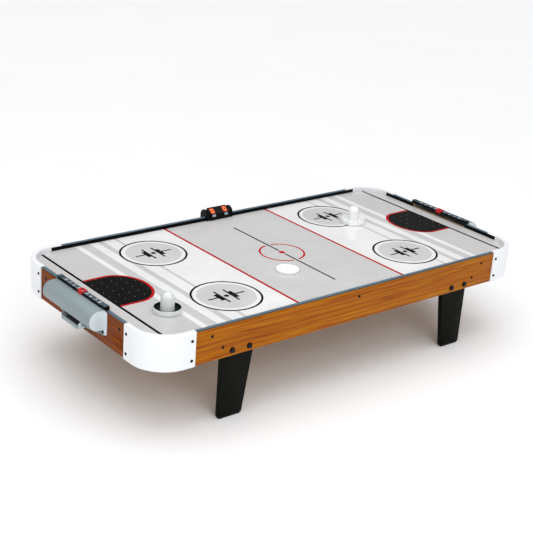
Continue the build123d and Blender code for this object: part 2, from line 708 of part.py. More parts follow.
def make_goal_boxes():
    inner_r = HOOD_R - HOOD_WALL
    tray_inner = TRAY_HALF - HOOD_WALL
    with BuildPart() as box:
        # return tray hung under the middle, its side walls sloping up to the hood
        tray_block(TRAY_FRONT, TRAY_HALF, TRAY_CORNER_R, TRAY_BOTTOM, HOOD_CZ)
        across = Plane(origin=(0, TRAY_HALF, 0), x_dir=(1, 0, 0), z_dir=(0, -1, 0))
        with BuildSketch(across):
            with BuildLine():
                Polyline(
                    (TRAY_FRONT + 1, TRAY_LIP_TOP - 1),
                    (TRAY_FRONT - TRAY_GUSSET, TRAY_LIP_TOP + TRAY_GUSSET - 1),
                    (TRAY_FRONT - TRAY_GUSSET, HOOD_CZ), (TRAY_FRONT + 1, HOOD_CZ),
                    close=True,
                )
            make_face()
        extrude(amount=2 * TRAY_HALF, mode=Mode.SUBTRACT)
        hood_profile(HOOD_R, HALF_L, HOOD_HALF)
        # mounting flange with rounded corners
        with BuildSketch(x_plane(HALF_L)):
            with Locations((0, (FLANGE_BOTTOM + FLANGE_TOP) / 2)):
                RectangleRounded(2 * FLANGE_HALF, FLANGE_TOP - FLANGE_BOTTOM, FLANGE_CORNER_R)
        extrude(amount=FLANGE_T)
        # skirts that run back from the tray to the flange
        with BuildSketch(Plane.XY.offset(FLANGE_BOTTOM)) as skirt:
            with BuildLine():
                Polyline(
                    (HALF_L, TRAY_HALF - HOOD_WALL), (HALF_L, FLANGE_HALF - 5),
                    (HALF_L + 4, FLANGE_HALF - 6), (HALF_L + 9, FLANGE_HALF - 30),
                    (RETURN_BACK - 2, TRAY_HALF + 6), (RETURN_BACK, TRAY_HALF - HOOD_WALL),
                    close=True,
                )
            make_face()
            mirror(about=Plane.XZ)
        extrude(skirt.sketch, amount=HOOD_WALL)
        # hollow inside
        hood_profile(inner_r, HALF_L, HOOD_HALF - HOOD_WALL, mode=Mode.SUBTRACT)
        # tray hollow, and the hand opening over its front lip
        tray_block(
            TRAY_FRONT - HOOD_WALL, tray_inner, TRAY_CORNER_R - HOOD_WALL,
            TRAY_BOTTOM + HOOD_WALL, RETURN_TOP, mode=Mode.SUBTRACT,
        )
        block(
            RETURN_BACK, HOOD_CX + HOOD_R + 5, -tray_inner, tray_inner,
            TRAY_LIP_TOP, RETURN_TOP, mode=Mode.SUBTRACT,
        )
        for y in (-HOOD_SCREW_Y, HOOD_SCREW_Y):
            bore_x(y, HOOD_SCREW_Z, SCREW_HOLE_R, HALF_L, HALF_L + FLANGE_T)
    save_ends(box.part, "goal_box")

    with BuildPart() as screws:
        for y in (-HOOD_SCREW_Y, HOOD_SCREW_Y):
            screw_out_x(y, HALF_L + FLANGE_T, HOOD_SCREW_Z, SHORT_SCREW)
        mirror(about=Plane.YZ)
    save(screws, "goal_box_screws")


# --------------------------------------------------------- manual score counters
def make_score_bars():
    with BuildPart() as bar:
        block(BAR_X0, BAR_X1, -BAR_HALF, BAR_HALF, BAR_Z0, BAR_Z1)
        # raised end blocks, with feet that stand on the end rails
        block(BAR_X0, BAR_X1, BAR_RUN, BAR_HALF, BAR_Z1, BAR_Z1 + BAR_END_RISE)
        block(INNER_X, HALF_L, BAR_HALF - BAR_FOOT_IN, BAR_HALF, RAIL_TOP, BAR_Z0)
        mirror(about=Plane.XZ)
        # guide grooves for the counter
        for x0, x1 in ((BAR_X0, BAR_X0 + GROOVE_DEPTH), (BAR_X1 - GROOVE_DEPTH, BAR_X1)):
            block(x0, x1, -BAR_RUN, BAR_RUN, GROOVE_Z0, GROOVE_Z1, mode=Mode.SUBTRACT)
        # shallow panel along the top, where the numbers are printed
        block(
            BAR_X0 + BAR_PANEL_MARGIN, BAR_X1 - BAR_PANEL_MARGIN, -BAR_RUN, BAR_RUN,
            BAR_Z1 - BAR_PANEL_DEPTH, BAR_Z1, mode=Mode.SUBTRACT,
        )
    save_ends(bar.part, "score_bar")


def make_score_sliders():
    middle_x = (BAR_X0 + BAR_X1) / 2
    inside = (BAR_X1 - BAR_X0) / 2 + SLIDER_GAP
    outside = inside + SLIDER_WALL
    half_len = SLIDER_LEN / 2
    z_under = BAR_Z1 + SLIDER_GAP
    with BuildPart() as slider:
        block(middle_x - outside, middle_x + outside, -half_len, half_len, z_under, SLIDER_TOP)
        # side skirts, and tongues that run in the bar's grooves
        for sign in (-1, 1):
            skirt = sorted((middle_x + sign * inside, middle_x + sign * outside))
            tongue = sorted((middle_x + sign * inside, middle_x + sign * (inside - GROOVE_DEPTH)))
            block(*skirt, -half_len, half_len, SLIDER_SKIRT_Z, z_under)
            block(*tongue, -half_len, half_len, GROOVE_Z0 + SLIDER_GAP, GROOVE_Z1 - SLIDER_GAP)
        fillet(slider.edges().filter_by(Axis.Y).group_by(Axis.Z)[-1], SLIDER_FILLET)
        # window over the number
        block(
            middle_x - WINDOW_X / 2, middle_x + WINDOW_X / 2, -WINDOW_Y / 2, WINDOW_Y / 2,
            z_under, SLIDER_TOP, mode=Mode.SUBTRACT,
        )
    save_ends(slider.part, "score_slider")


# ------------------------------------------------------------- electronic scorer
def arch(radius, x0, x1, z_bottom, mode=Mode.ADD):
    """A round-topped prism over the rail, between two distances from the scorer's middle."""
    with BuildSketch(x_plane(SCORER_X + x0)) as outline:
        with BuildLine():
            CenterArc((CORE_Y, CORE_Z), radius, 0, 180)
            Line((CORE_Y - radius, CORE_Z), (CORE_Y - radius, z_bottom))
            Line((CORE_Y - radius, z_bottom), (CORE_Y + radius, z_bottom))
            Line((CORE_Y + radius, z_bottom), (CORE_Y + radius, CORE_Z))
        make_face()
    extrude(outline.sketch, amount=x1 - x0, mode=mode)


def scorer_block(half, y0, y1, z0, z1, mode=Mode.ADD):
    """A box centred on the scorer's length."""
    block(SCORER_X - half, SCORER_X + half, y0, y1, z0, z1, mode=mode)


def make_scorer_housing():
    past_end = SCORER_HALF + CAP_T
    with BuildPart() as housing:
        # end caps with softened outer edges
        for x0 in (-SCORER_HALF, SCORER_HALF - CAP_T):
            arch(CAP_R, x0, x0 + CAP_T, SCORER_BACK_BOTTOM)
        tops = housing.edges().filter_by(GeomType.CIRCLE).sort_by(Axis.X)
        fillet([tops[0], tops[-1]], CAP_FILLET)
        # core, and the display box with its sloped face
        arch(CORE_R, CAP_T - SCORER_HALF, SCORER_HALF - CAP_T, SCORER_BACK_BOTTOM)
        with BuildSketch(x_plane(SCORER_X - DISPLAY_HALF)):
            with BuildLine():
                Polyline(
                    (SCORER_FRONT_Y, SCORER_BACK_BOTTOM), (SCORER_STEP_Y, SCORER_BACK_BOTTOM),
                    (SCORER_STEP_Y, SCORER_CREST_Z), (SCORER_CREST_Y, SCORER_CREST_Z),
                    (SCORER_FRONT_Y, SCORER_KNEE_Z), close=True,
                )
            make_face()
        extrude(amount=2 * DISPLAY_HALF)
        # the core's round top is cut flush with the sloped face
        with BuildSketch(FACE):
            Rectangle(2 * DISPLAY_HALF, hypot(FACE_RUN, FACE_RISE))
        extrude(amount=CORE_R, mode=Mode.SUBTRACT)
        # slot over the rail, and the shorter front side
        scorer_block(
            past_end, RAIL_SLOT_Y0, RAIL_SLOT_Y1,
            SCORER_BACK_BOTTOM, SCORER_SEAT, mode=Mode.SUBTRACT,
        )
        scorer_block(
            past_end, CORE_Y - CAP_R, RAIL_SLOT_Y0,
            SCORER_BACK_BOTTOM, SCORER_FRONT_BOTTOM, mode=Mode.SUBTRACT,
        )
        # cavity behind the display
        inside = DISPLAY_HALF - SCORER_WALL
        face_drop = SCORER_WALL / sin(RECLINE)
        wall_rise = SCORER_WALL * FACE_RISE / FACE_RUN
        with BuildSketch(x_plane(SCORER_X - inside)):
            with BuildLine():
                Polyline(
                    (SCORER_FRONT_Y + SCORER_WALL, SCORER_FLOOR),
                    (SCORER_STEP_Y - SCORER_WALL, SCORER_FLOOR),
                    (SCORER_STEP_Y - SCORER_WALL, SCORER_CREST_Z - face_drop),
                    (SCORER_CREST_Y, SCORER_CREST_Z - face_drop),
                    (SCORER_FRONT_Y + SCORER_WALL, SCORER_KNEE_Z - face_drop + wall_rise),
                    close=True,
                )
            make_face()
        extrude(amount=2 * inside, mode=Mode.SUBTRACT)
        arch(CORE_R - SCORER_WALL, -inside, inside, SCORER_FLOOR, mode=Mode.SUBTRACT)
        # pocket behind the apron, closed by the back cover in its recess
        cover_back = CORE_Y + CORE_R
        cover_in = cover_back - COVER_T
        scorer_block(
            COVER_HALF - COVER_LEDGE, RAIL_SLOT_Y1 + SCORER_WALL, cover_in,
            COVER_Z0 + COVER_LEDGE, SCORER_FLOOR, mode=Mode.SUBTRACT,
        )
        scorer_block(
            COVER_HALF + BORE_GAP, cover_in, cover_back,
            COVER_Z0 - BORE_GAP, COVER_Z1 + BORE_GAP, mode=Mode.SUBTRACT,
        )
        # windows for the digits and holes for the buttons
        with BuildSketch(FACE):
            with Locations((-DIGIT_X, 0), (DIGIT_X, 0)):
                Rectangle(DIGIT_W + 2 * WINDOW_GAP, DIGIT_H + 2 * WINDOW_GAP)
        extrude(amount=-WINDOW_DEPTH, mode=Mode.SUBTRACT)
        with BuildSketch(y_plane(SCORER_FRONT_Y)):
            with Locations((-SCORER_X - BUTTON_X, BUTTON_Z), (-SCORER_X + BUTTON_X, BUTTON_Z)):
                RectangleRounded(
                    BUTTON_W + 2 * WINDOW_GAP, BUTTON_H + 2 * WINDOW_GAP,
                    BUTTON_CORNER_R + WINDOW_GAP,
                )
        extrude(amount=BUTTON_HOLE_DEPTH, mode=Mode.SUBTRACT)
    save(housing, "scorer_housing")

    with BuildPart() as cover:
        scorer_block(COVER_HALF, cover_in, cover_back, COVER_Z0, COVER_Z1)
    save(cover, "scorer_back_cover")


def make_scorer_electronics():
    with BuildPart() as digits:
        with BuildSketch(FACE.offset(-DIGIT_RECESS)):
            with Locations((-DIGIT_X, 0), (DIGIT_X, 0)):
                Rectangle(DIGIT_W, DIGIT_H)
        extrude(amount=-DIGIT_T)
    save(digits, "scorer_digits")

    with BuildPart() as circuit:
        with BuildSketch(FACE.offset(-DIGIT_RECESS - DIGIT_T - BORE_GAP)):
            Rectangle(CIRCUIT_L, CIRCUIT_H)
        extrude(amount=-CIRCUIT_T)
    save(circuit, "scorer_circuit_board")

    for name, sign in (("left", -1), ("right", 1)):
        with BuildPart() as button:
            with BuildSketch(y_plane(SCORER_FRONT_Y - BUTTON_PROUD)):
                with Locations((-SCORER_X - sign * BUTTON_X, BUTTON_Z)):
                    RectangleRounded(BUTTON_W, BUTTON_H, BUTTON_CORNER_R)
            extrude(amount=BUTTON_PROUD + BUTTON_INSIDE)
            fillet(button.faces().sort_by(Axis.Y)[0].edges(), BUTTON_FILLET)
        save(button, f"score_button_{name}")


# -------------------------------------------------------------------------- fan
def fan_outline(bore_r):
    """The square fan outline with its bore and screw holes, in the current sketch."""
    RectangleRounded(FAN_SIZE, FAN_SIZE, FAN_CORNER_R)
    Circle(bore_r, mode=Mode.SUBTRACT)
    with GridLocations(FAN_SCREW_PITCH, FAN_SCREW_PITCH, 2, 2):
        Circle(FAN_SCREW_R + BORE_GAP, mode=Mode.SUBTRACT)


def make_fan_housing():
    bearing_z0 = FAN_Z0 + MOTOR_BASE_T
    with BuildPart() as housing:
        with BuildSketch(Plane.XY.offset(FAN_Z0)):
            fan_outline(FAN_BORE_R)
        extrude(amount=FAN_H)
        # waisted sides between the two flanges
        for turn in range(4):
            waist = Plane(
                origin=(0, 0, FAN_Z0 + FAN_FLANGE_T),
                x_dir=(cos(turn * pi / 2), sin(turn * pi / 2), 0),
                z_dir=(0, 0, 1),
            )
            with BuildSketch(waist):
                with Locations((FAN_SIZE / 2, 0)):
                    Rectangle(2 * FAN_WAIST_DEPTH, FAN_WAIST_L)
            extrude(amount=FAN_H - 2 * FAN_FLANGE_T, mode=Mode.SUBTRACT)
        # motor base on four struts, with the bearing tube
        with BuildSketch(Plane.XY.offset(FAN_Z0)):
            Circle(MOTOR_BASE_R)
            with PolarLocations(0, 4, start_angle=45):
                Rectangle(2 * FAN_BORE_R + 1, STRUT_W)
        extrude(amount=MOTOR_BASE_T)
        with BuildSketch(Plane.XY.offset(bearing_z0)):
            Circle(BEARING_R)
        extrude(amount=BEARING_H)
        with BuildSketch(Plane.XY.offset(bearing_z0)):
            Circle(SHAFT_R + SHAFT_GAP)
        extrude(amount=BEARING_H, mode=Mode.SUBTRACT)
    save(housing, "fan_housing")

    with BuildPart() as stator:
        with BuildSketch(Plane.XY.offset(STATOR_Z0)):
            Circle(STATOR_R)
            Circle(BEARING_R + SHAFT_GAP, mode=Mode.SUBTRACT)
            with PolarLocations(STATOR_SLOT_R, 4, start_angle=45):
                Rectangle(*STATOR_SLOT, mode=Mode.SUBTRACT)
        extrude(amount=STATOR_H)
    save(stator, "fan_stator")


def add_blade(spin):
    """One twisted blade from the hub out to its tip."""
    out = (cos(spin), sin(spin), 0)
    along = (-sin(spin), cos(spin), 0)
    sections = []
    for radius, chord, thick, pitch in (BLADE_ROOT, BLADE_TIP):
        section = Plane(
            origin=(radius * out[0], radius * out[1], (HUB_Z0 + HUB_Z1) / 2),
            x_dir=along,
            z_dir=out,
        )
        with BuildSketch(section) as profile:
            Rectangle(chord, thick, rotation=pitch)
        sections.append(profile.sketch)
    loft(sections)


def make_fan_rotor():
    with BuildPart() as impeller:
        with BuildSketch(Plane.XY.offset(HUB_Z0)):
            Circle(HUB_R)
        extrude(amount=HUB_Z1 - HUB_Z0)
        for blade in range(BLADE_COUNT):
            add_blade(2 * pi * blade / BLADE_COUNT)
        with BuildSketch(Plane.XY.offset(HUB_Z0)):
            Circle(HUB_R - HUB_WALL)
        extrude(amount=HUB_Z1 - HUB_Z0 - HUB_WALL, mode=Mode.SUBTRACT)
        with BuildSketch(Plane.XY.offset(HUB_Z1 - HUB_WALL)):
            Circle(SHAFT_R)
        extrude(amount=HUB_WALL, mode=Mode.SUBTRACT)
        top_rims = impeller.edges().filter_by(GeomType.CIRCLE).group_by(Axis.Z)[-1]
        fillet(top_rims.sort_by(SortBy.LENGTH)[-1], 1)
    save(impeller, "fan_impeller")

    with BuildPart() as shaft:
        with BuildSketch(Plane.XY.offset(HUB_Z0 - 1)):
            Circle(SHAFT_R)
        extrude(amount=HUB_Z1 - HUB_Z0 + 1)
    save(shaft, "fan_shaft")


def make_fan_grille():
    with BuildPart() as grille:
        with BuildSketch(Plane.XY.offset(GRILLE_Z0)):
            fan_outline(FAN_BORE_R - 1)
            for ring_r in GRILLE_RINGS:
                with BuildSketch(mode=Mode.PRIVATE) as ring:
                    Circle(ring_r)
                    Circle(ring_r - GRILLE_BAR, mode=Mode.SUBTRACT)
                add(ring.sketch)
            Circle(GRILLE_HUB_R)
            with PolarLocations(0, 4):
                Rectangle(2 * FAN_BORE_R, GRILLE_BAR)
        extrude(amount=GRILLE_T)
    save(grille, "fan_grille")

    on_grille = (Align.CENTER, Align.CENTER, Align.MIN)
    shank = PANEL_TOP - GRILLE_Z0 + FAN_SCREW_TAIL
    with BuildPart() as screws:
        with GridLocations(FAN_SCREW_PITCH, FAN_SCREW_PITCH, 2, 2):
            with Locations((0, 0, GRILLE_Z0 - FAN_SCREW_HEAD_H)):
                Cylinder(FAN_SCREW_HEAD_R, FAN_SCREW_HEAD_H, align=on_grille)
                Cylinder(FAN_SCREW_R, shank, align=on_grille)
    save(screws, "fan_screws")


# ------------------------------------------------------- power switch and inlet
def switch_block(length, height, y0, y1, mode=Mode.ADD):
    """A box centred on the power switch."""
    block(
        SWITCH_X - length / 2, SWITCH_X + length / 2, y0, y1,
        SWITCH_Z - height / 2, SWITCH_Z + height / 2, mode=mode,
    )


def make_switch():
    body_back = HALF_W - SWITCH_BODY_DEPTH
    with BuildPart() as body:
        switch_block(SWITCH_BEZEL_L, SWITCH_BEZEL_H, HALF_W, HALF_W + SWITCH_BEZEL_T)
        fillet(body.edges().group_by(Axis.Y)[-1], 0.8)
        switch_block(SWITCH_BODY_L, SWITCH_BODY_H, body_back, HALF_W)
        # well for the rocker
        switch_block(
            ROCKER_L + 1, ROCKER_H + 0.8,
            HALF_W - SWITCH_WELL_DEPTH, HALF_W + SWITCH_BEZEL_T, mode=Mode.SUBTRACT,
        )
        # two blade terminals at the back
        for x in (SWITCH_X - TERMINAL_X, SWITCH_X + TERMINAL_X):
            block(
                x - TERMINAL_T / 2, x + TERMINAL_T / 2, body_back - TERMINAL_L, body_back,
                SWITCH_Z - TERMINAL_H / 2, SWITCH_Z + TERMINAL_H / 2,
            )
    save(body, "switch_body")

    pivot = Axis((SWITCH_X, ROCKER_PIVOT_Y, SWITCH_Z), (0, 0, 1))
    with BuildPart() as rocker:
        with BuildSketch(Plane.XY.offset(SWITCH_Z - ROCKER_H / 2)):
            with BuildLine():
                Polyline(
                    (SWITCH_X - ROCKER_L / 2, ROCKER_PIVOT_Y - ROCKER_BELOW),
                    (SWITCH_X + ROCKER_L / 2, ROCKER_PIVOT_Y - ROCKER_BELOW),
                    (SWITCH_X + ROCKER_L / 2, ROCKER_PIVOT_Y + ROCKER_ENDS),
                    (SWITCH_X, ROCKER_PIVOT_Y + ROCKER_MIDDLE),
                    (SWITCH_X - ROCKER_L / 2, ROCKER_PIVOT_Y + ROCKER_ENDS),
                    close=True,
                )
            make_face()
        extrude(amount=ROCKER_H)
    with BuildPart() as rocker_at_rest:
        add(rocker.part.rotate(pivot, ROCKER_TILT))
    save(rocker_at_rest, "switch_rocker")


def make_power_jack():
    face = HALF_W + JACK_FLANGE_T
    bore_back = HALF_W - JACK_BORE_DEPTH
    with BuildPart() as jack:
        bore_y(JACK_X, SWITCH_Z, JACK_FLANGE_R, HALF_W, face, mode=Mode.ADD)
        fillet(jack.edges().group_by(Axis.Y)[-1], 0.6)
        bore_y(JACK_X, SWITCH_Z, JACK_BODY_R, HALF_W - JACK_BODY_DEPTH, HALF_W, mode=Mode.ADD)
        bore_y(JACK_X, SWITCH_Z, JACK_BORE_R, bore_back, face)
        bore_y(JACK_X, SWITCH_Z, JACK_PIN_R, bore_back, HALF_W + JACK_PIN_OUT, mode=Mode.ADD)
    save(jack, "power_jack")


# ------------------------------------------------------------- puck and strikers
def make_puck():
    with BuildPart() as puck:
        with BuildSketch(Plane.XY.offset(PLAY_Z + AIR_FILM)):
            with Locations(PUCK_AT):
                Circle(PUCK_R)
        extrude(amount=PUCK_H)
        fillet(puck.edges(), PUCK_FILLET)
    save(puck, "puck")


def make_strikers():
    base = PLAY_Z + AIR_FILM
    dome_z = KNOB_H - KNOB_TOP_R
    felt_top = FELT_T - FELT_STANDS_OUT
    pocket_r = FELT_R + WINDOW_GAP
    well_r = STRIKER_R - STRIKER_RIM_T
    for name, (x, y) in STRIKERS.items():
        section = Plane(origin=(x, y, base), x_dir=(1, 0, 0), z_dir=(0, -1, 0))
        with BuildPart() as striker:
            with BuildSketch(section):
                with BuildLine():
                    # underside with the felt pocket, then the rim, moat and knob
                    Polyline(
                        (0, KNOB_H), (0, felt_top), (pocket_r, felt_top), (pocket_r, 0.2),
                        (STRIKER_R - 0.6, 0.2), (STRIKER_R, 1.0),
                        (STRIKER_R - 0.3, STRIKER_RIM_H - 0.9), (STRIKER_R - 0.8, STRIKER_RIM_H),
                        (well_r, STRIKER_RIM_H), (well_r, STRIKER_FLOOR),
                        (KNOB_BASE_R, STRIKER_FLOOR), (KNOB_TOP_R, dome_z),
                    )
                    CenterArc((0, dome_z), KNOB_TOP_R, 0, 90)
                make_face()
            revolve(axis=Axis((x, y, 0), (0, 0, 1)))
        save(striker, f"striker_{name}")

        with BuildPart() as felt:
            with BuildSketch(Plane.XY.offset(base - FELT_STANDS_OUT)):
                with Locations((x, y)):
                    Circle(FELT_R)
            extrude(amount=FELT_T)
        save(felt, f"striker_felt_{name}")


make_playfield()
make_bottom_panel()
make_battens()
make_cross_braces()
make_side_aprons()
make_end_aprons()
make_rails()
make_guards()
make_screws()
make_leg_fixings()
make_legs()
make_goal_boxes()
make_score_bars()
make_score_sliders()
make_scorer_housing()
make_scorer_electronics()
make_fan_housing()
make_fan_rotor()
make_fan_grille()
make_switch()
make_power_jack()
make_puck()
make_strikers()
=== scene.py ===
"""Looks of the tabletop air hockey table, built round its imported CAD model.

Lengths are millimetres, and MM turns them into Blender's metres when a mesh is
made. Only the camera, lamps, floor and texture scales are in metres.
"""

import math

import bmesh
import bpy
from mathutils import Matrix, Vector


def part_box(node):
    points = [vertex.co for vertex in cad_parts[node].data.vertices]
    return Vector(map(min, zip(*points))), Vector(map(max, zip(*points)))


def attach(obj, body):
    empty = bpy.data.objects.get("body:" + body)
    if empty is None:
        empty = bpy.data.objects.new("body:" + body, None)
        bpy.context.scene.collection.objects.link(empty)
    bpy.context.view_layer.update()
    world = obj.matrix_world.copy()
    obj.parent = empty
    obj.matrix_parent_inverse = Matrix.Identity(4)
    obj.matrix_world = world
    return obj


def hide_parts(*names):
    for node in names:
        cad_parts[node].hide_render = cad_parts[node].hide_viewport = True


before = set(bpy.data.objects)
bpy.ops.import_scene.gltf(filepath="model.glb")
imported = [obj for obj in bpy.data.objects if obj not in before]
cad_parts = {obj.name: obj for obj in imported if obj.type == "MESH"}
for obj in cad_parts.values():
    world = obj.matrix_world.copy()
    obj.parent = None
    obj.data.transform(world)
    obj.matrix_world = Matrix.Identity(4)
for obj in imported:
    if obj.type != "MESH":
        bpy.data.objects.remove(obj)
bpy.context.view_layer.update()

MM = 0.001
SIDES = (("front", -1), ("back", 1))
ENDS = (("left", -1), ("right", 1))


def box(node):
    """Lowest and highest corner of a CAD node, in millimetres."""
    low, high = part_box(node)
    return low / MM, high / MM


def disc_of(node):
    """Middle (x, y) and radius of a round CAD node, with its lowest and highest z."""
    low, high = box(node)
    return (low.x + high.x) / 2, (low.y + high.y) / 2, (high.x - low.x) / 2, low.z, high.z


# ------------------------------------------------------------ sizes from the frame
HALF_L = box("end_apron_right")[1].x
HALF_W = box("side_apron_back")[1].y
INNER_X = box("end_apron_right")[0].x
INNER_Y = box("side_apron_back")[0].y
CORNER_X = box("side_apron_back")[1].x
CORNER_Y = box("end_apron_right")[1].y
INNER_R = INNER_X - CORNER_X
PLAY_Z = box("playfield_board")[1].z
RAIL_TOP = box("side_rail_back")[1].z
GUARD_LOW, GUARD_HIGH = box("corner_guard_back_right")


# ------------------------------------------------------------------------- camera
CAMERA_AT = (-1.56500, -1.80762, 1.12463)      # metres
CAMERA_AZIMUTH = math.radians(-40.12147)
CAMERA_ELEVATION = math.radians(21.86327)
CAMERA_ROLL = math.radians(4.15881)
FOCAL_PIXELS = 1157.13
FRAME_PIXELS = 533
SENSOR_WIDTH = 36


def make_camera():
    back = Vector((
        math.sin(CAMERA_AZIMUTH) * math.cos(CAMERA_ELEVATION),
        -math.cos(CAMERA_AZIMUTH) * math.cos(CAMERA_ELEVATION),
        math.sin(CAMERA_ELEVATION),
    ))
    level_right = (-back).cross(Vector((0, 0, 1))).normalized()
    level_up = level_right.cross(-back)
    right = math.cos(CAMERA_ROLL) * level_right + math.sin(CAMERA_ROLL) * level_up
    up = math.cos(CAMERA_ROLL) * level_up - math.sin(CAMERA_ROLL) * level_right
    data = bpy.data.cameras.new("camera")
    data.sensor_width = SENSOR_WIDTH
    data.lens = SENSOR_WIDTH * FOCAL_PIXELS / FRAME_PIXELS
    data.clip_start = 0.05
    data.clip_end = 100
    camera = bpy.data.objects.new("camera", data)
    bpy.context.scene.collection.objects.link(camera)
    camera.matrix_world = Matrix.Translation(CAMERA_AT) @ Matrix((
        (right.x, up.x, back.x, 0),
        (right.y, up.y, back.y, 0),
        (right.z, up.z, back.z, 0),
        (0, 0, 0, 1),
    ))
    bpy.context.scene.camera = camera


# ---------------------------------------------------------------------- materials
def rgb(red, green, blue):
    """Linear colour, with alpha, from 0 to 255 screen values."""
    def linear(value):
        value /= 255
        return value / 12.92 if value <= 0.04045 else ((value + 0.055) / 1.055) ** 2.4
    return (linear(red), linear(green), linear(blue), 1.0)


def fill_ramp(node, stops):
    """Give a colour ramp exactly the (position, colour) stops listed."""
    elements = node.color_ramp.elements
    while len(elements) < len(stops):
        elements.new(0.5)
    for element, (position, color) in zip(elements, stops):
        element.position = position
        element.color = color


class Paint:
    """A Principled material and the few node chains that the finishes share."""

    def __init__(self, name, color, roughness, **sockets):
        self.material = bpy.data.materials.new(name)
        self.material.use_nodes = True
        self.tree = self.material.node_tree
        self.shader = self.tree.nodes["Principled BSDF"]
        self.shader.inputs["Base Color"].default_value = color
        self.shader.inputs["Roughness"].default_value = roughness
        self.material.diffuse_color = color
        for key, value in sockets.items():
            self.shader.inputs[key.replace("_", " ")].default_value = value

    def node(self, kind, **inputs):
        node = self.tree.nodes.new(kind)
        for key, value in inputs.items():
            node.inputs[key].default_value = value
        return node

    def join(self, output, target):
        self.tree.links.new(output, target)

    def place(self, scale, rotation=(0, 0, 0)):
        """Object coordinates, in metres, times a scale for each axis."""
        coordinates = self.tree.nodes.new("ShaderNodeTexCoord")
        mapping = self.node("ShaderNodeMapping", Scale=scale, Rotation=rotation)
        self.join(coordinates.outputs["Object"], mapping.inputs["Vector"])
        return mapping.outputs["Vector"]

    def noise(self, vector, scale, detail=4.0, roughness=0.5, distortion=0.0):
        node = self.node(
            "ShaderNodeTexNoise", Scale=scale, Detail=detail,
            Roughness=roughness, Distortion=distortion,
        )
        self.join(vector, node.inputs["Vector"])
        return node.outputs["Fac"]

    def ramp(self, factor, stops):
        node = self.tree.nodes.new("ShaderNodeValToRGB")
        fill_ramp(node, stops)
        self.join(factor, node.inputs["Fac"])
        return node.outputs["Color"]

    def spread(self, factor, low, high):
        """Map the middle of a noise value's range onto another range."""
        node = self.node("ShaderNodeMapRange", **{
            "From Min": 0.3, "From Max": 0.7, "To Min": low, "To Max": high,
        })
        self.join(factor, node.inputs["Value"])
        return node.outputs["Result"]

    def multiply(self, first, second, factor):
        """The first colour darkened by the second, to the extent of the factor."""
        node = self.tree.nodes.new("ShaderNodeMix")
        node.data_type = "RGBA"
        node.blend_type = "MULTIPLY"
        node.inputs["Factor"].default_value = factor
        self.join(first, node.inputs["A"])
        self.join(second, node.inputs["B"])
        return node.outputs["Result"]

    def color(self, output):
        self.join(output, self.shader.inputs["Base Color"])

    def rough(self, output):
        self.join(output, self.shader.inputs["Roughness"])

    def bump(self, height, strength, depth):
        node = self.node("ShaderNodeBump", Strength=strength, Distance=depth * MM)
        self.join(height, node.inputs["Height"])
        self.join(node.outputs["Normal"], self.shader.inputs["Normal"])


def scaled(color, factor):
    return tuple(channel * factor for channel in color[:3]) + (1.0,)


def moulded(name, color, roughness, grain=900.0, depth=0.02, mottle=0.05, **sockets):
    """Moulded plastic: fine texture, slight colour mottle and uneven gloss."""
    paint = Paint(name, color, roughness, **sockets)
    where = paint.place((1, 1, 1))
    fine = paint.noise(where, grain, detail=3)
    broad = paint.noise(where, 14, detail=3)
    paint.color(paint.ramp(broad, [
        (0.3, scaled(color, 1 - mottle)), (0.7, scaled(color, 1 + mottle)),
    ]))
    paint.rough(paint.spread(broad, roughness * 0.85, roughness * 1.2))
    paint.bump(fine, 0.25, depth)
    return paint.material


def wood_laminate(name, along, tones):
    """Printed wood grain with long streaks, cathedral bands and fine pores."""
    paint = Paint(name, tones[1], 0.42, Specular_IOR_Level=0.1)
    stretch = {"X": (1.9, 18, 58), "Y": (18, 1.9, 58)}[along]
    where = paint.place(stretch)
    streaks = paint.noise(where, 2.6, detail=9, roughness=0.62, distortion=0.9)
    base = paint.ramp(streaks, [
        (0.28, tones[0]), (0.44, tones[1]), (0.56, tones[2]), (0.74, tones[3]),
    ])
    bands = paint.node("ShaderNodeTexWave", Scale=0.9, Distortion=7.5, Detail=4.0)
    bands.inputs["Detail Scale"].default_value = 1.4
    bands.bands_direction = "Z"
    lazy = {"X": (2.6, 9, 34), "Y": (9, 2.6, 34)}[along]
    paint.join(paint.place(lazy), bands.inputs["Vector"])
    cathedral = paint.ramp(bands.outputs["Fac"], [
        (0.0, (0.74, 0.68, 0.60, 1)), (0.35, (1, 1, 1, 1)), (1.0, (1.05, 1.04, 1.0, 1)),
    ])
    fibre = {"X": (9, 160, 900), "Y": (160, 9, 900)}[along]
    pores = paint.noise(paint.place(fibre), 1.0, detail=3, roughness=0.7)
    specks = paint.ramp(pores, [(0.36, (0.62, 0.54, 0.46, 1)), (0.50, (1, 1, 1, 1))])
    paint.color(paint.multiply(paint.multiply(base, cathedral, 0.75), specks, 0.55))
    paint.rough(paint.spread(streaks, 0.36, 0.50))
    paint.bump(pores, 0.2, 0.03)
    return paint.material


def fibreboard(name, color):
    """Raw fibreboard: matted short fibres."""
    paint = Paint(name, color, 0.85)
    where = paint.place((1, 1, 1))
    fibres = paint.noise(where, 420, detail=6, roughness=0.75, distortion=1.5)
    paint.color(paint.ramp(fibres, [
        (0.3, scaled(color, 0.62)), (0.5, color), (0.72, scaled(color, 1.35)),
    ]))
    paint.bump(fibres, 0.6, 0.12)
    return paint.material


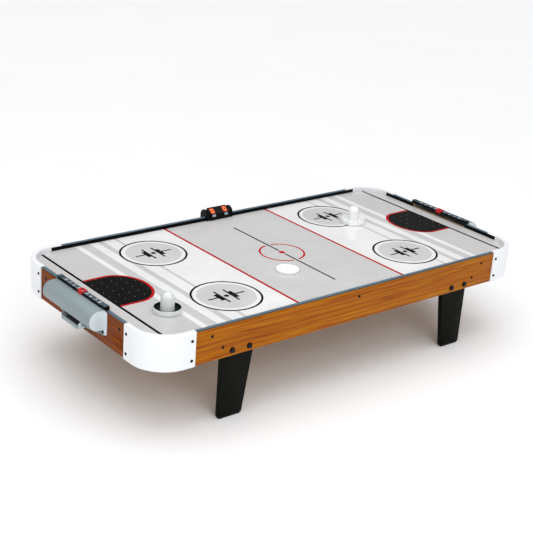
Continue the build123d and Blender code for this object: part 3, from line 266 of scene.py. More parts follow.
def ice_print(name, level, warm=0.0):
    """Glossy printed ice: soft clouds, light flecks and faint skate marks."""
    color = rgb(level, level - warm, level - 1.4 * warm)
    paint = Paint(name, color, 0.13)
    where = paint.place((1, 1, 1))
    clouds = paint.noise(where, 9, detail=5, roughness=0.6)
    base = paint.ramp(clouds, [(0.3, scaled(color, 0.95)), (0.7, scaled(color, 1.05))])
    flecks = paint.noise(where, 190, detail=2, roughness=0.4)
    lifted = paint.ramp(flecks, [(0.62, (1, 1, 1, 1)), (0.74, (1.09, 1.09, 1.09, 1))])
    skates = paint.noise(paint.place((5, 75, 1), (0, 0, 0.5)), 3.0, detail=3, distortion=0.6)
    marks = paint.ramp(skates, [(0.68, (1, 1, 1, 1)), (0.76, (1.06, 1.06, 1.06, 1))])
    paint.color(paint.multiply(paint.multiply(base, lifted, 1.0), marks, 1.0))
    paint.rough(paint.spread(clouds, 0.10, 0.17))
    paint.bump(flecks, 0.05, 0.02)
    return paint.material


def ink(name, color):
    """Printed ink under the same gloss film as the ice."""
    paint = Paint(name, color, 0.15, Specular_IOR_Level=0.03)
    where = paint.place((1, 1, 1))
    grain = paint.noise(where, 260, detail=4, roughness=0.7)
    paint.color(paint.ramp(grain, [(0.35, scaled(color, 0.88)), (0.7, scaled(color, 1.15))]))
    paint.rough(paint.spread(grain, 0.12, 0.22))
    return paint.material


def black_laminate(name, color):
    """Satin black foil on board, with a faint grain and scuffs."""
    paint = Paint(name, color, 0.42, Specular_IOR_Level=0.05)
    grain = paint.noise(paint.place((60, 60, 6)), 9, detail=6, roughness=0.6)
    scuffs = paint.noise(paint.place((3, 3, 3)), 12, detail=7, roughness=0.7)
    paint.color(paint.ramp(scuffs, [(0.45, color), (0.78, scaled(color, 2.2))]))
    paint.rough(paint.spread(scuffs, 0.30, 0.50))
    paint.bump(grain, 0.25, 0.04)
    return paint.material


def metal(name, color, roughness):
    """Plated metal with fine turning marks."""
    paint = Paint(name, color, roughness, Metallic=1.0)
    marks = paint.noise(paint.place((1, 1, 1)), 1400, detail=3)
    paint.color(paint.ramp(marks, [(0.3, scaled(color, 0.8)), (0.7, scaled(color, 1.15))]))
    paint.rough(paint.spread(marks, roughness * 0.7, roughness * 1.4))
    paint.bump(marks, 0.2, 0.01)
    return paint.material


def woollen_felt(name, color):
    """Matted wool with a soft sheen."""
    paint = Paint(name, color, 0.95, Sheen_Weight=0.6)
    fibres = paint.noise(paint.place((1, 1, 1)), 1500, detail=5, roughness=0.8, distortion=2.0)
    paint.color(paint.ramp(fibres, [(0.3, scaled(color, 0.7)), (0.7, scaled(color, 1.2))]))
    paint.bump(fibres, 0.9, 0.25)
    return paint.material


def copper_winding(name):
    """Enamelled wire: fine rings round the coil."""
    paint = Paint(name, rgb(176, 98, 52), 0.3, Metallic=0.9)
    turns = paint.node("ShaderNodeTexWave", Scale=620.0, Distortion=0.6)
    turns.bands_direction = "Z"
    paint.join(paint.place((1, 1, 1)), turns.inputs["Vector"])
    paint.color(paint.ramp(turns.outputs["Fac"], [
        (0.1, rgb(92, 42, 18)), (0.7, rgb(196, 118, 66)),
    ]))
    paint.bump(turns.outputs["Fac"], 0.6, 0.15)
    return paint.material


def solder_mask(name):
    """Green circuit board with lighter tracks under the mask."""
    paint = Paint(name, rgb(20, 92, 48), 0.35)
    cells = paint.node("ShaderNodeTexVoronoi", Scale=420.0)
    cells.distance = "CHEBYCHEV"
    paint.join(paint.place((1, 1, 1)), cells.inputs["Vector"])
    paint.color(paint.ramp(cells.outputs["Distance"], [
        (0.30, rgb(46, 132, 74)), (0.38, rgb(16, 82, 42)),
    ]))
    return paint.material


def glowing(name, color, strength):
    """A lit segment, with a faint grain in its glow."""
    paint = Paint(name, color, 0.3, Emission_Color=color, Emission_Strength=strength)
    grain = paint.noise(paint.place((1, 1, 1)), 700, detail=2)
    lit = paint.ramp(grain, [(0.3, scaled(color, 0.85)), (0.7, scaled(color, 1.1))])
    paint.color(lit)
    paint.join(lit, paint.shader.inputs["Emission Color"])
    return paint.material


SIDE_TONES = [rgb(128, 58, 8), rgb(164, 88, 10), rgb(174, 104, 12), rgb(194, 130, 18)]
# painted shade: the end aprons are the same laminate as the sides, given darker tones for the shade
# on the ends
END_TONES_PAINTED_SHADE = [rgb(84, 32, 2), rgb(116, 50, 3), rgb(130, 63, 4), rgb(150, 82, 8)]

MAT = {
    "wood_side": wood_laminate("wood_side", "X", SIDE_TONES),
    "wood_end_painted_shade": wood_laminate("wood_end_painted_shade", "Y", END_TONES_PAINTED_SHADE),
    "fibreboard": fibreboard("fibreboard", rgb(168, 132, 92)),
    "white": moulded(
        "white_plastic", rgb(240, 242, 246), 0.34, grain=700, depth=0.012, mottle=0.015,
    ),
    # painted highlight: the top faces of the black rails are painted slate blue-grey for the sheen
    # of light on them
    "rail_top_painted_highlight": moulded(
        "rail_top_painted_highlight", rgb(86, 107, 121), 0.40, grain=1500, mottle=0.08, Specular_IOR_Level=0.3,
    ),
    "rail_black": moulded(
        "rail_black", rgb(8, 9, 10), 0.34, grain=1500, Specular_IOR_Level=0.06,
    ),
    "grey": moulded(
        "grey_plastic", rgb(140, 154, 158), 0.42, mottle=0.03, Specular_IOR_Level=0.3,
    ),
    # painted highlight: the hood's end faces and flange are a paler grey for the light on them
    "grey_painted_highlight": moulded("grey_plastic_painted_highlight", rgb(208, 220, 226), 0.42, mottle=0.03),
    "black": moulded("black_plastic", rgb(9, 10, 11), 0.36, grain=1300, Specular_IOR_Level=0.1),
    "slate": moulded(
        "slate_print", rgb(70, 86, 98), 0.45, grain=1600, mottle=0.1, Specular_IOR_Level=0.3,
    ),
    "red": moulded(
        "red_plastic", rgb(216, 22, 24), 0.3, grain=1400, depth=0.01, Specular_IOR_Level=0.3,
    ),
    "button": moulded("button_grey", rgb(168, 178, 196), 0.45, grain=1500),
    "figures": ink("white_figures", rgb(238, 240, 242)),
    # painted shade: the near striker is the far one's white plastic, painted grey for the shade it
    # stands in
    "striker_near_painted_shade": moulded(
        "striker_white_painted_shade", rgb(223, 228, 228), 0.25, grain=500, depth=0.01, mottle=0.02,
        Coat_Weight=0.8, Coat_Roughness=0.06,
    ),
    "striker_far": moulded(
        "striker_white", rgb(250, 251, 252), 0.25, grain=500, depth=0.01, mottle=0.01,
        Coat_Weight=0.8, Coat_Roughness=0.06,
    ),
    # painted shade: near black in the near striker's moat for the shade in its recess; the far
    # striker's moat keeps its white
    "moat": moulded(
        "striker_moat_painted_shade", rgb(22, 34, 30), 0.4, grain=500, mottle=0.1, Specular_IOR_Level=0.1,
    ),
    "puck": moulded("puck_white", rgb(252, 252, 252), 0.25, grain=600, depth=0.01, mottle=0.01),
    "legs": black_laminate("black_laminate", rgb(13, 14, 10)),
    "screw": moulded(
        "black_oxide", rgb(12, 12, 16), 0.4, grain=1400, mottle=0.2, Specular_IOR_Level=0.2,
    ),
    "zinc": metal("zinc_plate", rgb(188, 190, 194), 0.3),
    "foam": moulded("foam_pad", rgb(24, 24, 24), 0.9, grain=1800, depth=0.2, mottle=0.25),
    "felt": woollen_felt("woollen_felt", rgb(214, 212, 204)),
    "copper": copper_winding("copper_winding"),
    "circuit": solder_mask("solder_mask"),
    "digit_face": moulded(
        "digit_face", rgb(96, 8, 8), 0.25,
        Emission_Color=rgb(170, 8, 4), Emission_Strength=0.7,
    ),
    "digit_lit": glowing("digit_lit", rgb(255, 108, 22), 2.2),
    "hole_edge": moulded("hole_edge", rgb(196, 200, 202), 0.5, grain=2000, mottle=0.1),
    # painted shade: the dark middle of each air hole, for the shade inside it
    "hole_painted_shade": moulded("hole_painted_shade", rgb(84, 84, 84), 0.8, grain=2000, mottle=0.2),
    "ice_white": ice_print("ice_white", 237),
    "ice_centre": ice_print("ice_centre", 205),
    "ice_band": ice_print("ice_band", 202),
    "ice_end": ice_print("ice_end", 202, warm=1.5),
    "ice_spot": ice_print("ice_spot", 206),
    "ink_red": ink("ink_red", rgb(180, 14, 20)),
    "ink_black": ink("ink_black", rgb(7, 8, 7)),
}


# ------------------------------------------------------------------- mesh helpers
SMOOTH_BELOW = 32.0         # degrees between faces that shade as one surface
MERGE_BELOW = 1.0           # degrees between faces that are merged into one
SHARP_ABOVE = 30.0          # degrees between faces whose edge is softened
WELD = 0.002                # vertices of a CAD mesh this close are joined


def finish_piece(name, bm, paints, body="table", smooth=SMOOTH_BELOW, replaces=()):
    """Turn a bmesh in millimetres into a smooth-shaded piece on a body."""
    bmesh.ops.scale(bm, vec=(MM, MM, MM), verts=bm.verts)
    bmesh.ops.remove_doubles(bm, verts=bm.verts, dist=1e-7)
    bmesh.ops.recalc_face_normals(bm, faces=bm.faces)
    mesh = bpy.data.meshes.new(name)
    bm.to_mesh(mesh)
    bm.free()
    for paint in paints:
        mesh.materials.append(MAT[paint])
    mesh.polygons.foreach_set("use_smooth", [True] * len(mesh.polygons))
    mesh.set_sharp_from_angle(angle=math.radians(smooth))
    piece = bpy.data.objects.new(name, mesh)
    bpy.context.scene.collection.objects.link(piece)
    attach(piece, body)
    if replaces:
        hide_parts(*replaces)


def prism(bm, outline, z0, z1, to_point=lambda u, v, w: (u, v, w), paint=0):
    """A closed prism over a flat outline, between two heights; to_point may tilt it."""
    low = [bm.verts.new(to_point(u, v, z0)) for u, v in outline]
    high = [bm.verts.new(to_point(u, v, z1)) for u, v in outline]
    count = len(outline)
    faces = [bm.faces.new(low[::-1]), bm.faces.new(high)]
    for i in range(count):
        j = (i + 1) % count
        faces.append(bm.faces.new((low[i], low[j], high[j], high[i])))
    for face in faces:
        face.material_index = paint


def rectangle(u0, u1, v0, v1):
    return [(u0, v0), (u1, v0), (u1, v1), (u0, v1)]


def arc(cx, cy, rx, ry, start, end, steps):
    """Points of an elliptical arc between two angles in degrees, with both ends."""
    points = []
    for i in range(steps + 1):
        angle = math.radians(start + (end - start) * i / steps)
        points.append((cx + rx * math.cos(angle), cy + ry * math.sin(angle)))
    return points


def circle(cx, cy, radius, steps):
    return arc(cx, cy, radius, radius, 0, 360, steps)[:-1]


def ring(bm, cx, cy, r_in, r_out, z0, z1, steps):
    """A flat ring as a closed band."""
    inner, outer = circle(cx, cy, r_in, steps), circle(cx, cy, r_out, steps)
    rows = []
    for points, z in ((inner, z0), (outer, z0), (outer, z1), (inner, z1)):
        rows.append([bm.verts.new((x, y, z)) for x, y in points])
    for a, b in zip(rows, rows[1:] + rows[:1]):
        for i in range(steps):
            j = (i + 1) % steps
            bm.faces.new((a[i], a[j], b[j], b[i]))


def lathe(bm, profile, x, y, steps=96, paints=None):
    """Revolve (radius, z) points about a vertical axis; radius 0 closes an end."""
    rows = []
    for radius, z in profile:
        if radius == 0:
            rows.append([bm.verts.new((x, y, z))])
        else:
            around = circle(0, 0, radius, steps)
            rows.append([bm.verts.new((x + px, y + py, z)) for px, py in around])
    for k, (a, b) in enumerate(zip(rows, rows[1:])):
        for i in range(steps):
            j = (i + 1) % steps
            if len(a) == 1:
                face = bm.faces.new((a[0], b[i], b[j]))
            elif len(b) == 1:
                face = bm.faces.new((a[i], a[j], b[0]))
            else:
                face = bm.faces.new((a[i], a[j], b[j], b[i]))
            face.material_index = paints[k] if paints else 0


def refine(
    node, paints, bevel, body="table", pick=None, shortest=2.0, smooth=SMOOTH_BELOW,
):
    """A finer twin of a CAD node: merged faces and softened edges, with paint by face.

    pick(centre, normal) gives a face's place in paints, and edges up to the
    shortest length stay unsoftened.
    """
    bm = bmesh.new()
    bm.from_mesh(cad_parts[node].data)
    bmesh.ops.scale(bm, vec=(1 / MM, 1 / MM, 1 / MM), verts=bm.verts)
    bmesh.ops.remove_doubles(bm, verts=bm.verts, dist=WELD)
    bmesh.ops.dissolve_limit(
        bm, angle_limit=math.radians(MERGE_BELOW), verts=bm.verts, edges=bm.edges,
    )
    for face in bm.faces:
        face.material_index = pick(face.calc_center_median(), face.normal) if pick else 0
    if bevel:
        sharp = [
            edge for edge in bm.edges
            if len(edge.link_faces) == 2 and edge.calc_length() > shortest
            and edge.calc_face_angle(0) > math.radians(SHARP_ABOVE)
        ]
        bmesh.ops.bevel(
            bm, geom=sharp, offset=bevel, segments=2, profile=0.5,
            affect="EDGES", clamp_overlap=True,
        )
    bmesh.ops.triangulate(bm, faces=[face for face in bm.faces if len(face.verts) > 4])
    finish_piece(node + "_shell", bm, paints, body, smooth, replaces=(node,))


def repaint(node, paint):
    """Give a CAD node that is shown as it is its finish."""
    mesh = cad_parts[node].data
    mesh.materials.clear()
    mesh.materials.append(MAT[paint])


# ------------------------------------------------------------------ printed board
FILM = 0.03             # thickness of one printed layer

# zones and bands, from the red line outward, by x
WHITE_ENDS = (276, 311, 346)
GREY_ENDS = (283, 325, 368.5)
END_ZONE = 381.5

RED_LINE = 147.2
RED_LINE_HALF = 3.2
GOAL_LINE = 461.5
GOAL_LINE_W = 6.2
CENTRE_LINE = (10.5, 177.8)
CENTRE_LINE_HALF = 2.2
CENTRE_SPOT_R = 7.2
CENTRE_CIRCLE = (47.4, 51.9)
CENTRE_ARCS = ((-81.5, 81.5), (98.5, 261.5))        # degrees, broken at the centre line

CREASE_HALF = 74.0
CREASE_STRAIGHT = 413.0
CREASE_DEPTH = 59.5
CREASE_BORDER = 6.0

SPOT = (252.2, 132.5)
SPOT_R = 74.3
SPOT_STROKE = 4.8
SPOT_DISC_R = 61.0
SPOT_DOT_R = 5.6
HASH_MARKS = ((9.4, 14.0, 28.5), (14.0, 22.0, 15.5), (22.0, 45.0, 2.2))     # x to x, half width

HOLE_PITCH = 22.3
HOLE_COLUMNS = 22       # each side of the middle, which falls between two columns
HOLE_ROWS = 10          # each side of the middle row
HOLE_RIM = (0.8, 0.7)   # radius at the foot and the crest
HOLE_MOUTH = (0.42, 0.36)
HOLE_CLEAR = 13.0       # from the round of a corner


def film(name, paint, layer, shapes):
    """One printed colour: closed, very thin plates over the given outlines."""
    bm = bmesh.new()
    z0 = PLAY_Z + FILM * layer
    for outline in shapes:
        prism(bm, outline, z0, z0 + FILM)
    finish_piece(name, bm, [paint])


def both_ends(outline):
    """An outline on the right half and its mirror image on the left."""
    return [outline, [(-x, y) for x, y in outline][::-1]]


def end_zone():
    """From the last white zone to the end rail, rounded at the corner guards."""
    front = arc(CORNER_X, -CORNER_Y, INNER_R, INNER_R, -90, 0, 32)
    back = arc(CORNER_X, CORNER_Y, INNER_R, INNER_R, 0, 90, 32)
    return [(END_ZONE, -INNER_Y)] + front + back + [(END_ZONE, INNER_Y)]


def make_print_zones():
    def across(limits):
        return [
            shape for x0, x1 in limits
            for shape in both_ends(rectangle(x0, x1, -INNER_Y, INNER_Y))
        ]

    centre = rectangle(-RED_LINE, RED_LINE, -INNER_Y, INNER_Y)
    film("print_centre_zone", "ice_centre", 0, [centre])
    white = zip((RED_LINE,) + GREY_ENDS, WHITE_ENDS + (END_ZONE,))
    film("print_white_zones", "ice_white", 0, across(white))
    film("print_grey_bands", "ice_band", 0, across(zip(WHITE_ENDS, GREY_ENDS)))
    film("print_end_zones", "ice_end", 0, both_ends(end_zone()))


def goal_line_reach():
    """How far across the goal line runs before it meets the round guards."""
    return CORNER_Y + math.sqrt(INNER_R ** 2 - (GOAL_LINE + GOAL_LINE_W - CORNER_X) ** 2)


def crease(inset):
    """Outline of the right-hand goal crease, shrunk by an inset."""
    half = CREASE_HALF - inset
    nose = arc(CREASE_STRAIGHT, 0, CREASE_DEPTH - inset, half, 90, 270, 48)
    return nose + [(GOAL_LINE, -half), (GOAL_LINE, half)]


def make_print_lines():
    near, far = RED_LINE - RED_LINE_HALF, RED_LINE + RED_LINE_HALF
    film("print_red_lines", "ink_red", 1, both_ends(rectangle(near, far, -INNER_Y, INNER_Y)))
    far, reach = GOAL_LINE + GOAL_LINE_W, goal_line_reach()
    film("print_goal_lines", "ink_black", 1, both_ends(rectangle(GOAL_LINE, far, -reach, reach)))
    film("print_crease_red", "ink_red", 1, both_ends(crease(0)))
    film("print_crease_black", "ink_black", 2, both_ends(crease(CREASE_BORDER)))
    half = CENTRE_LINE_HALF
    near, far = CENTRE_LINE
    film("print_centre_line", "ink_black", 1, [
        rectangle(-half, half, near, far), rectangle(-half, half, -far, -near),
    ])
    film("print_centre_spot", "ink_red", 1, [circle(0, 0, CENTRE_SPOT_R, 48)])
    r_in, r_out = CENTRE_CIRCLE
    film("print_centre_circle", "ink_red", 1, [
        arc(0, 0, r_out, r_out, start, end, 72) + arc(0, 0, r_in, r_in, start, end, 72)[::-1]
        for start, end in CENTRE_ARCS
    ])


def hash_marks(cx, cy):
    """Two opposed groups of marks and a dot inside a face-off circle."""
    shapes = [circle(cx, cy, SPOT_DOT_R, 28)]
    for sign in (-1, 1):
        for near, far, half in HASH_MARKS:
            u0, u1 = sorted((cx + sign * near, cx + sign * far))
            shapes.append(rectangle(u0, u1, cy - half, cy + half))
    return shapes


def make_face_off_spots():
    centres = [(sx * SPOT[0], sy * SPOT[1]) for sx in (-1, 1) for sy in (-1, 1)]
    film("print_spot_white", "ice_white", 1, [circle(x, y, SPOT_R - 1, 96) for x, y in centres])
    film("print_spot_discs", "ice_spot", 2, [circle(x, y, SPOT_DISC_R, 96) for x, y in centres])
    film("print_spot_marks", "ink_black", 3, [
        shape for x, y in centres for shape in hash_marks(x, y)
    ])
    bm = bmesh.new()
    z0 = PLAY_Z + 2 * FILM
    for x, y in centres:
        ring(bm, x, y, SPOT_R - SPOT_STROKE, SPOT_R, z0, z0 + FILM, 96)
    finish_piece("print_spot_rings", bm, ["ink_black"])


def make_air_holes():
    """A raised breakout rim round each drilled air hole, its middle painted dark as painted shade
    inside the hole.
    """
    bm = bmesh.new()
    top = PLAY_Z + 5 * FILM
    base = PLAY_Z + FILM
    floor = top - FILM
    profile = [
        (0, base), (HOLE_RIM[0], base), (HOLE_RIM[1], top),
        (HOLE_MOUTH[0], top), (HOLE_MOUTH[1], floor), (0, floor),
    ]
    for i in range(-HOLE_COLUMNS, HOLE_COLUMNS):
        for j in range(-HOLE_ROWS, HOLE_ROWS + 1):
            x, y = (i + 0.5) * HOLE_PITCH, j * HOLE_PITCH
            over_x, over_y = abs(x) - CORNER_X, abs(y) - CORNER_Y
            in_corner = over_x > 0 and over_y > 0
            if not in_corner or math.hypot(over_x, over_y) <= INNER_R - HOLE_CLEAR:
                lathe(bm, profile, x, y, 8, [0, 0, 0, 1, 1])
    finish_piece("air_holes", bm, ["hole_edge", "hole_painted_shade"])


# ---------------------------------------------------------------- corner guards
GUARD_OUTER_ROUND = 2.4
GUARD_INNER_ROUND = 1.0
GUARD_WALL = 2.0            # thickness of the wall that comes down to the board
GUARD_BREAKS = (0.5, 0.4)   # broken edges of the skirt, outside and inside
GUARD_GAPS = (0.04, 0.05, 0.1)      # kept from the apron, the rail and the board
GUARD_STEPS = 40


def guard_section(wall_foot):
    """(radius, z) points round the guard's section, with the wall down to a height."""
    outer, inner = GUARD_HIGH.x - CORNER_X, INNER_R
    top, bottom = GUARD_HIGH.z, GUARD_LOW.z
    skin = HALF_L - CORNER_X + GUARD_GAPS[0]
    under = RAIL_TOP + GUARD_GAPS[1]
    outside, inside = GUARD_BREAKS
    crown, lip = GUARD_OUTER_ROUND, GUARD_INNER_ROUND
    points = [(outer - outside, bottom), (outer, bottom + outside)]
    points += arc(outer - crown, top - crown, crown, crown, 0, 90, 6)
    points += arc(inner + lip, top - lip, lip, lip, 90, 180, 4)
    points += [(inner, wall_foot), (inner + GUARD_WALL, wall_foot), (inner + GUARD_WALL, under)]
    points += [(skin, under), (skin, bottom + inside), (skin + inside, bottom)]
    return points


def make_guard(name, sx, sy):
    """Sweep the guard's section round one corner; only the round part has the wall."""
    lap = CORNER_X - GUARD_LOW.x
    short = guard_section(RAIL_TOP + GUARD_GAPS[1])
    deep = guard_section(PLAY_Z + GUARD_GAPS[2])
    stations = [(0.0, lap, short), (0.0, 0.0, short), (0.0, 0.0, deep)]
    stations += [(90.0 * i / GUARD_STEPS, 0.0, deep) for i in range(1, GUARD_STEPS + 1)]
    stations += [(90.0, 0.0, short), (90.0, lap, short)]
    bm = bmesh.new()
    rows = []
    for angle, back, points in stations:
        ca, sa = math.cos(math.radians(angle)), math.sin(math.radians(angle))
        row = []
        for radius, z in points:
            x = CORNER_X + radius * ca - back * sa
            y = CORNER_Y + radius * sa - back * ca
            row.append(bm.verts.new((sx * x, sy * y, z)))
        rows.append(row)
    count = len(short)
    for a, b in zip(rows, rows[1:]):
        for i in range(count):
            j = (i + 1) % count
            bm.faces.new((a[i], a[j], b[j], b[i]))
    bm.faces.new(rows[0])
    bm.faces.new(rows[-1][::-1])
    bmesh.ops.remove_doubles(bm, verts=bm.verts, dist=1e-4)
    bmesh.ops.dissolve_degenerate(bm, edges=bm.edges, dist=1e-4)
    finish_piece(name + "_shell", bm, ["white"], smooth=38, replaces=(name,))


def make_guards():
    for side, sy in SIDES:
        for end, sx in ENDS:
            make_guard(f"corner_guard_{side}_{end}", sx, sy)


# ------------------------------------------------------------------------ screws
HEAD_R = 3.1
HEAD_HEIGHT = 1.5
HEAD_PROFILE = (            # shares of the radius and of the height
    (0, 0), (1, 0), (1, 0.35), (0.86, 0.75), (0.62, 0.95), (0.3, 1), (0, 1),
)
CROSS_ARM = 0.62            # shares of the radius
CROSS_HALF = 0.13
CROSS_HEIGHTS = (0.9, 1.04)         # shares of the height
GUARD_SCREW_IN = 8.5
GUARD_SCREW_Z = (153.5, 194.0)
BATTEN_SCREW_X = (-375.4, 0.0, 375.4)
BATTEN_SCREW_Y = (-140.7, 140.7)
BATTEN_SCREW_Z = 192.0
BRACE_SCREW = (348.7, 162.6)
HOOD_SCREW = (86.0, 165.7)
FLANGE_T = 2.0              # of a goal box, which its screws stand on


def screw_head(bm, at, outward):
    """A domed head with a raised black cross, painted shade for its recess, facing outward from a
    face.
    """
    turn = outward.to_track_quat("Z", "Y").to_matrix().to_4x4()
    spot = Matrix.Translation(at) @ turn
    head = bmesh.new()
    lathe(head, [(HEAD_R * r, HEAD_HEIGHT * z) for r, z in HEAD_PROFILE], 0, 0, 20)
    cross_shade = bmesh.new()
    arm, half = HEAD_R * CROSS_ARM, HEAD_R * CROSS_HALF
    low, high = (HEAD_HEIGHT * share for share in CROSS_HEIGHTS)
    # painted shade: the cross recess is drawn as a thin raised black cross
    prism(cross_shade, [
        (arm, -half), (arm, half), (half, half), (half, arm), (-half, arm), (-half, half),
        (-arm, half), (-arm, -half), (-half, -half), (-half, -arm), (half, -arm), (half, -half),
    ], low, high, paint=1)
    for part in (head, cross_shade):
        bmesh.ops.transform(part, matrix=spot, verts=part.verts)
        scratch = bpy.data.meshes.new("scratch")
        part.to_mesh(scratch)
        part.free()
        bm.from_mesh(scratch)
        bpy.data.meshes.remove(scratch)


def screws_on(node, spots):
    """Finer heads, at (place, outward direction), in the place of a CAD node's."""
    bm = bmesh.new()
    for at, outward in spots:
        screw_head(bm, Vector(at), Vector(outward))
    # the second paint is the cross's painted shade
    finish_piece(node + "_heads", bm, ["screw", "ink_black"], replaces=(node,))


def make_screw_heads():
    corners = [(sx, sy) for sx in (-1, 1) for sy in (-1, 1)]
    x, y = GUARD_LOW.x + GUARD_SCREW_IN, GUARD_LOW.y + GUARD_SCREW_IN
    spots = []
    for sx, sy in corners:
        for z in GUARD_SCREW_Z:
            spots.append(((sx * x, sy * GUARD_HIGH.y, z), (0, sy, 0)))
            spots.append(((sx * GUARD_HIGH.x, sy * y, z), (sx, 0, 0)))
    screws_on("guard_screws", spots)

    z = BATTEN_SCREW_Z
    spots = [((x, s * HALF_W, z), (0, s, 0)) for x in BATTEN_SCREW_X for s in (-1, 1)]
    spots += [((s * HALF_L, y, z), (s, 0, 0)) for y in BATTEN_SCREW_Y for s in (-1, 1)]
    screws_on("batten_screws", spots)

    x, z = BRACE_SCREW
    screws_on("brace_screws", [((sx * x, sy * HALF_W, z), (0, sy, 0)) for sx, sy in corners])
    y, z = HOOD_SCREW
    x = HALF_L + FLANGE_T
    screws_on("goal_box_screws", [((sx * x, sy * y, z), (sx, 0, 0)) for sx, sy in corners])


# ------------------------------------------------------------------ score counters
NUMBER_PITCH = 16.0
NUMBER_HEIGHT = 7.6
NUMBER_LIFT = 0.12
NUMBER_COUNT = 9
PANEL_DROP = 1.4            # from the top of the bar's rims to its printed panel


def score_numbers(name, marks):
    """Raised printed figures, each at (text, centre, reading direction, up)."""
    bm = bmesh.new()
    for text, at, right, up in marks:
        curve = bpy.data.curves.new("scratch", "FONT")
        curve.body = text
        curve.align_x = "CENTER"
        curve.extrude = 0.5
        letter = bpy.data.objects.new("scratch", curve)
        bpy.context.scene.collection.objects.link(letter)
        bpy.context.view_layer.update()
        evaluated = letter.evaluated_get(bpy.context.evaluated_depsgraph_get())
        mesh = bpy.data.meshes.new_from_object(evaluated)
        heights = [v.co.y for v in mesh.vertices]
        low, high = min(heights), max(heights)
        size = NUMBER_HEIGHT / (high - low)
        out = Vector(right).cross(Vector(up))
        turn = Matrix((right, up, out)).transposed().to_4x4()
        mesh.transform(Matrix.Translation((0, -(low + high) / 2, 0)))
        mesh.transform(Matrix.Diagonal((size, size, NUMBER_LIFT, 1)))
        mesh.transform(Matrix.Translation(at) @ turn)
        bm.from_mesh(mesh)
        bpy.data.objects.remove(letter)
        bpy.data.curves.remove(curve)
        bpy.data.meshes.remove(mesh)
    finish_piece(name, bm, ["figures"])


def make_score_bars():
    for end, sign in ENDS:
        low, high = box(f"score_bar_{end}")
        panel_z = high.z - PANEL_DROP
        middle_x = (low.x + high.x) / 2

        def bar_paint(centre, normal):
            return 1 if normal.z > 0.9 and centre.z > panel_z - 0.1 else 0

        refine(f"score_bar_{end}", ["black", "slate"], 0.35, pick=bar_paint)
        marks = []
        for i in range(NUMBER_COUNT):
            y = sign * (i - (NUMBER_COUNT - 1) / 2) * NUMBER_PITCH
            marks.append((str(i), (middle_x, y, panel_z), (0, sign, 0), (-sign, 0, 0)))
        score_numbers(f"score_numbers_{end}", marks)
        slider = f"score_slider_{end}"
        refine(slider, ["red"], 0.3, body=slider, shortest=1.0)


# ---------------------------------------------------------------- electronic scorer
FACE_LOW = (240.0, 217.5)       # y and z of the sloped face's edges
FACE_HIGH = (256.3, 228.3)
SCORER_LOW, SCORER_HIGH = box("scorer_housing")
SCORER_X = (SCORER_LOW.x + SCORER_HIGH.x) / 2
DIGIT_X = 17.85                 # from the scorer's middle to each digit's
DIGIT_SIZE = (6.2, 9.8)
SEGMENT_W = 1.4
SEGMENT_GAP = 0.35              # at each end of a segment
SEGMENT_DEPTHS = (-0.5, 0.05)   # below and above the face


def face_point(u, v, w):
    """A point on the scorer's sloped face: across, up the slope, and out of it."""
    dy, dz = FACE_HIGH[0] - FACE_LOW[0], FACE_HIGH[1] - FACE_LOW[1]
    length = math.hypot(dy, dz)
    sy, sz = dy / length, dz / length
    y = (FACE_LOW[0] + FACE_HIGH[0]) / 2 + v * sy - w * sz
    z = (FACE_LOW[1] + FACE_HIGH[1]) / 2 + v * sz + w * sy
    return (SCORER_X + u, y, z)


def segment(bm, u0, v0, u1, v1):
    """One bar of a seven-segment figure, with pointed ends."""
    along = Vector((u1 - u0, v1 - v0)).normalized()
    side = Vector((-along.y, along.x)) * SEGMENT_W / 2
    a, b = Vector((u0, v0)) + along * SEGMENT_GAP, Vector((u1, v1)) - along * SEGMENT_GAP
    tip = along * SEGMENT_W / 2
    outline = [a, a + tip - side, b - tip - side, b, b - tip + side, a + tip + side]
    prism(bm, [(p.x, p.y) for p in outline], *SEGMENT_DEPTHS, face_point)


def make_scorer():
    """Both digits show a lit 0: all segments but the middle one."""
    refine("scorer_housing", ["black"], 0.45, shortest=1.2)
    bm = bmesh.new()
    width, height = DIGIT_SIZE
    for centre in (-DIGIT_X, DIGIT_X):
        for top in (-1, 1):
            v = top * height / 2
            segment(bm, centre - width / 2, v, centre + width / 2, v)
            for side in (-1, 1):
                u = centre + side * width / 2
                segment(bm, u, 0, u, v)
    finish_piece("scorer_lit_segments", bm, ["digit_lit"])


# --------------------------------------------------------------- puck and strikers
PUCK_EDGE = 1.0
PUCK_GROOVE = ((3.2, 0), (3.6, 0.25), (4.4, 0.25), (4.8, 0))    # in from the rim, and down

FELT_LIFT = 7 * FILM        # keeps the felt clear of every printed layer and hole rim
FELT_EDGE = 0.3
POCKET = (25.2, 0.5)        # radius and depth of the felt's pocket under a striker
FOOT_EDGE = 1.0
RIM_HEIGHT = 9.8            # of a striker's rim over its foot
RIM_ROUND = 0.85
RIM_BULGE = 0.3             # of the foot beyond the rounded rim
MOAT_HEIGHT = 2.0           # of the moat's floor over the foot
MOAT_OUTER = ((2.0, 1.2), (3.2, 0))     # in from the edge, and up from the moat's floor
MOAT_INNER = ((1.8, 0), (0.3, 1.6))     # out from the knob's foot, and up
KNOB_R = 13.4
KNOB_FOOT_R = 14.2
KNOB_NECK = (0.25, 8)       # wider than the dome by, and below its middle by


def make_puck():
    x, y, radius, low, high = disc_of("puck")
    edge = PUCK_EDGE
    profile = [(0, low), (radius - edge, low)]
    profile += arc(radius - edge, low + edge, edge, edge, -90, 0, 5)[1:]
    profile += arc(radius - edge, high - edge, edge, edge, 0, 90, 5)
    profile += [(radius - inward, high - down) for inward, down in PUCK_GROOVE]
    profile += [(0, high)]
    bm = bmesh.new()
    lathe(bm, profile, x, y)
    finish_piece("puck_disc", bm, ["puck"], "puck", replaces=("puck",))


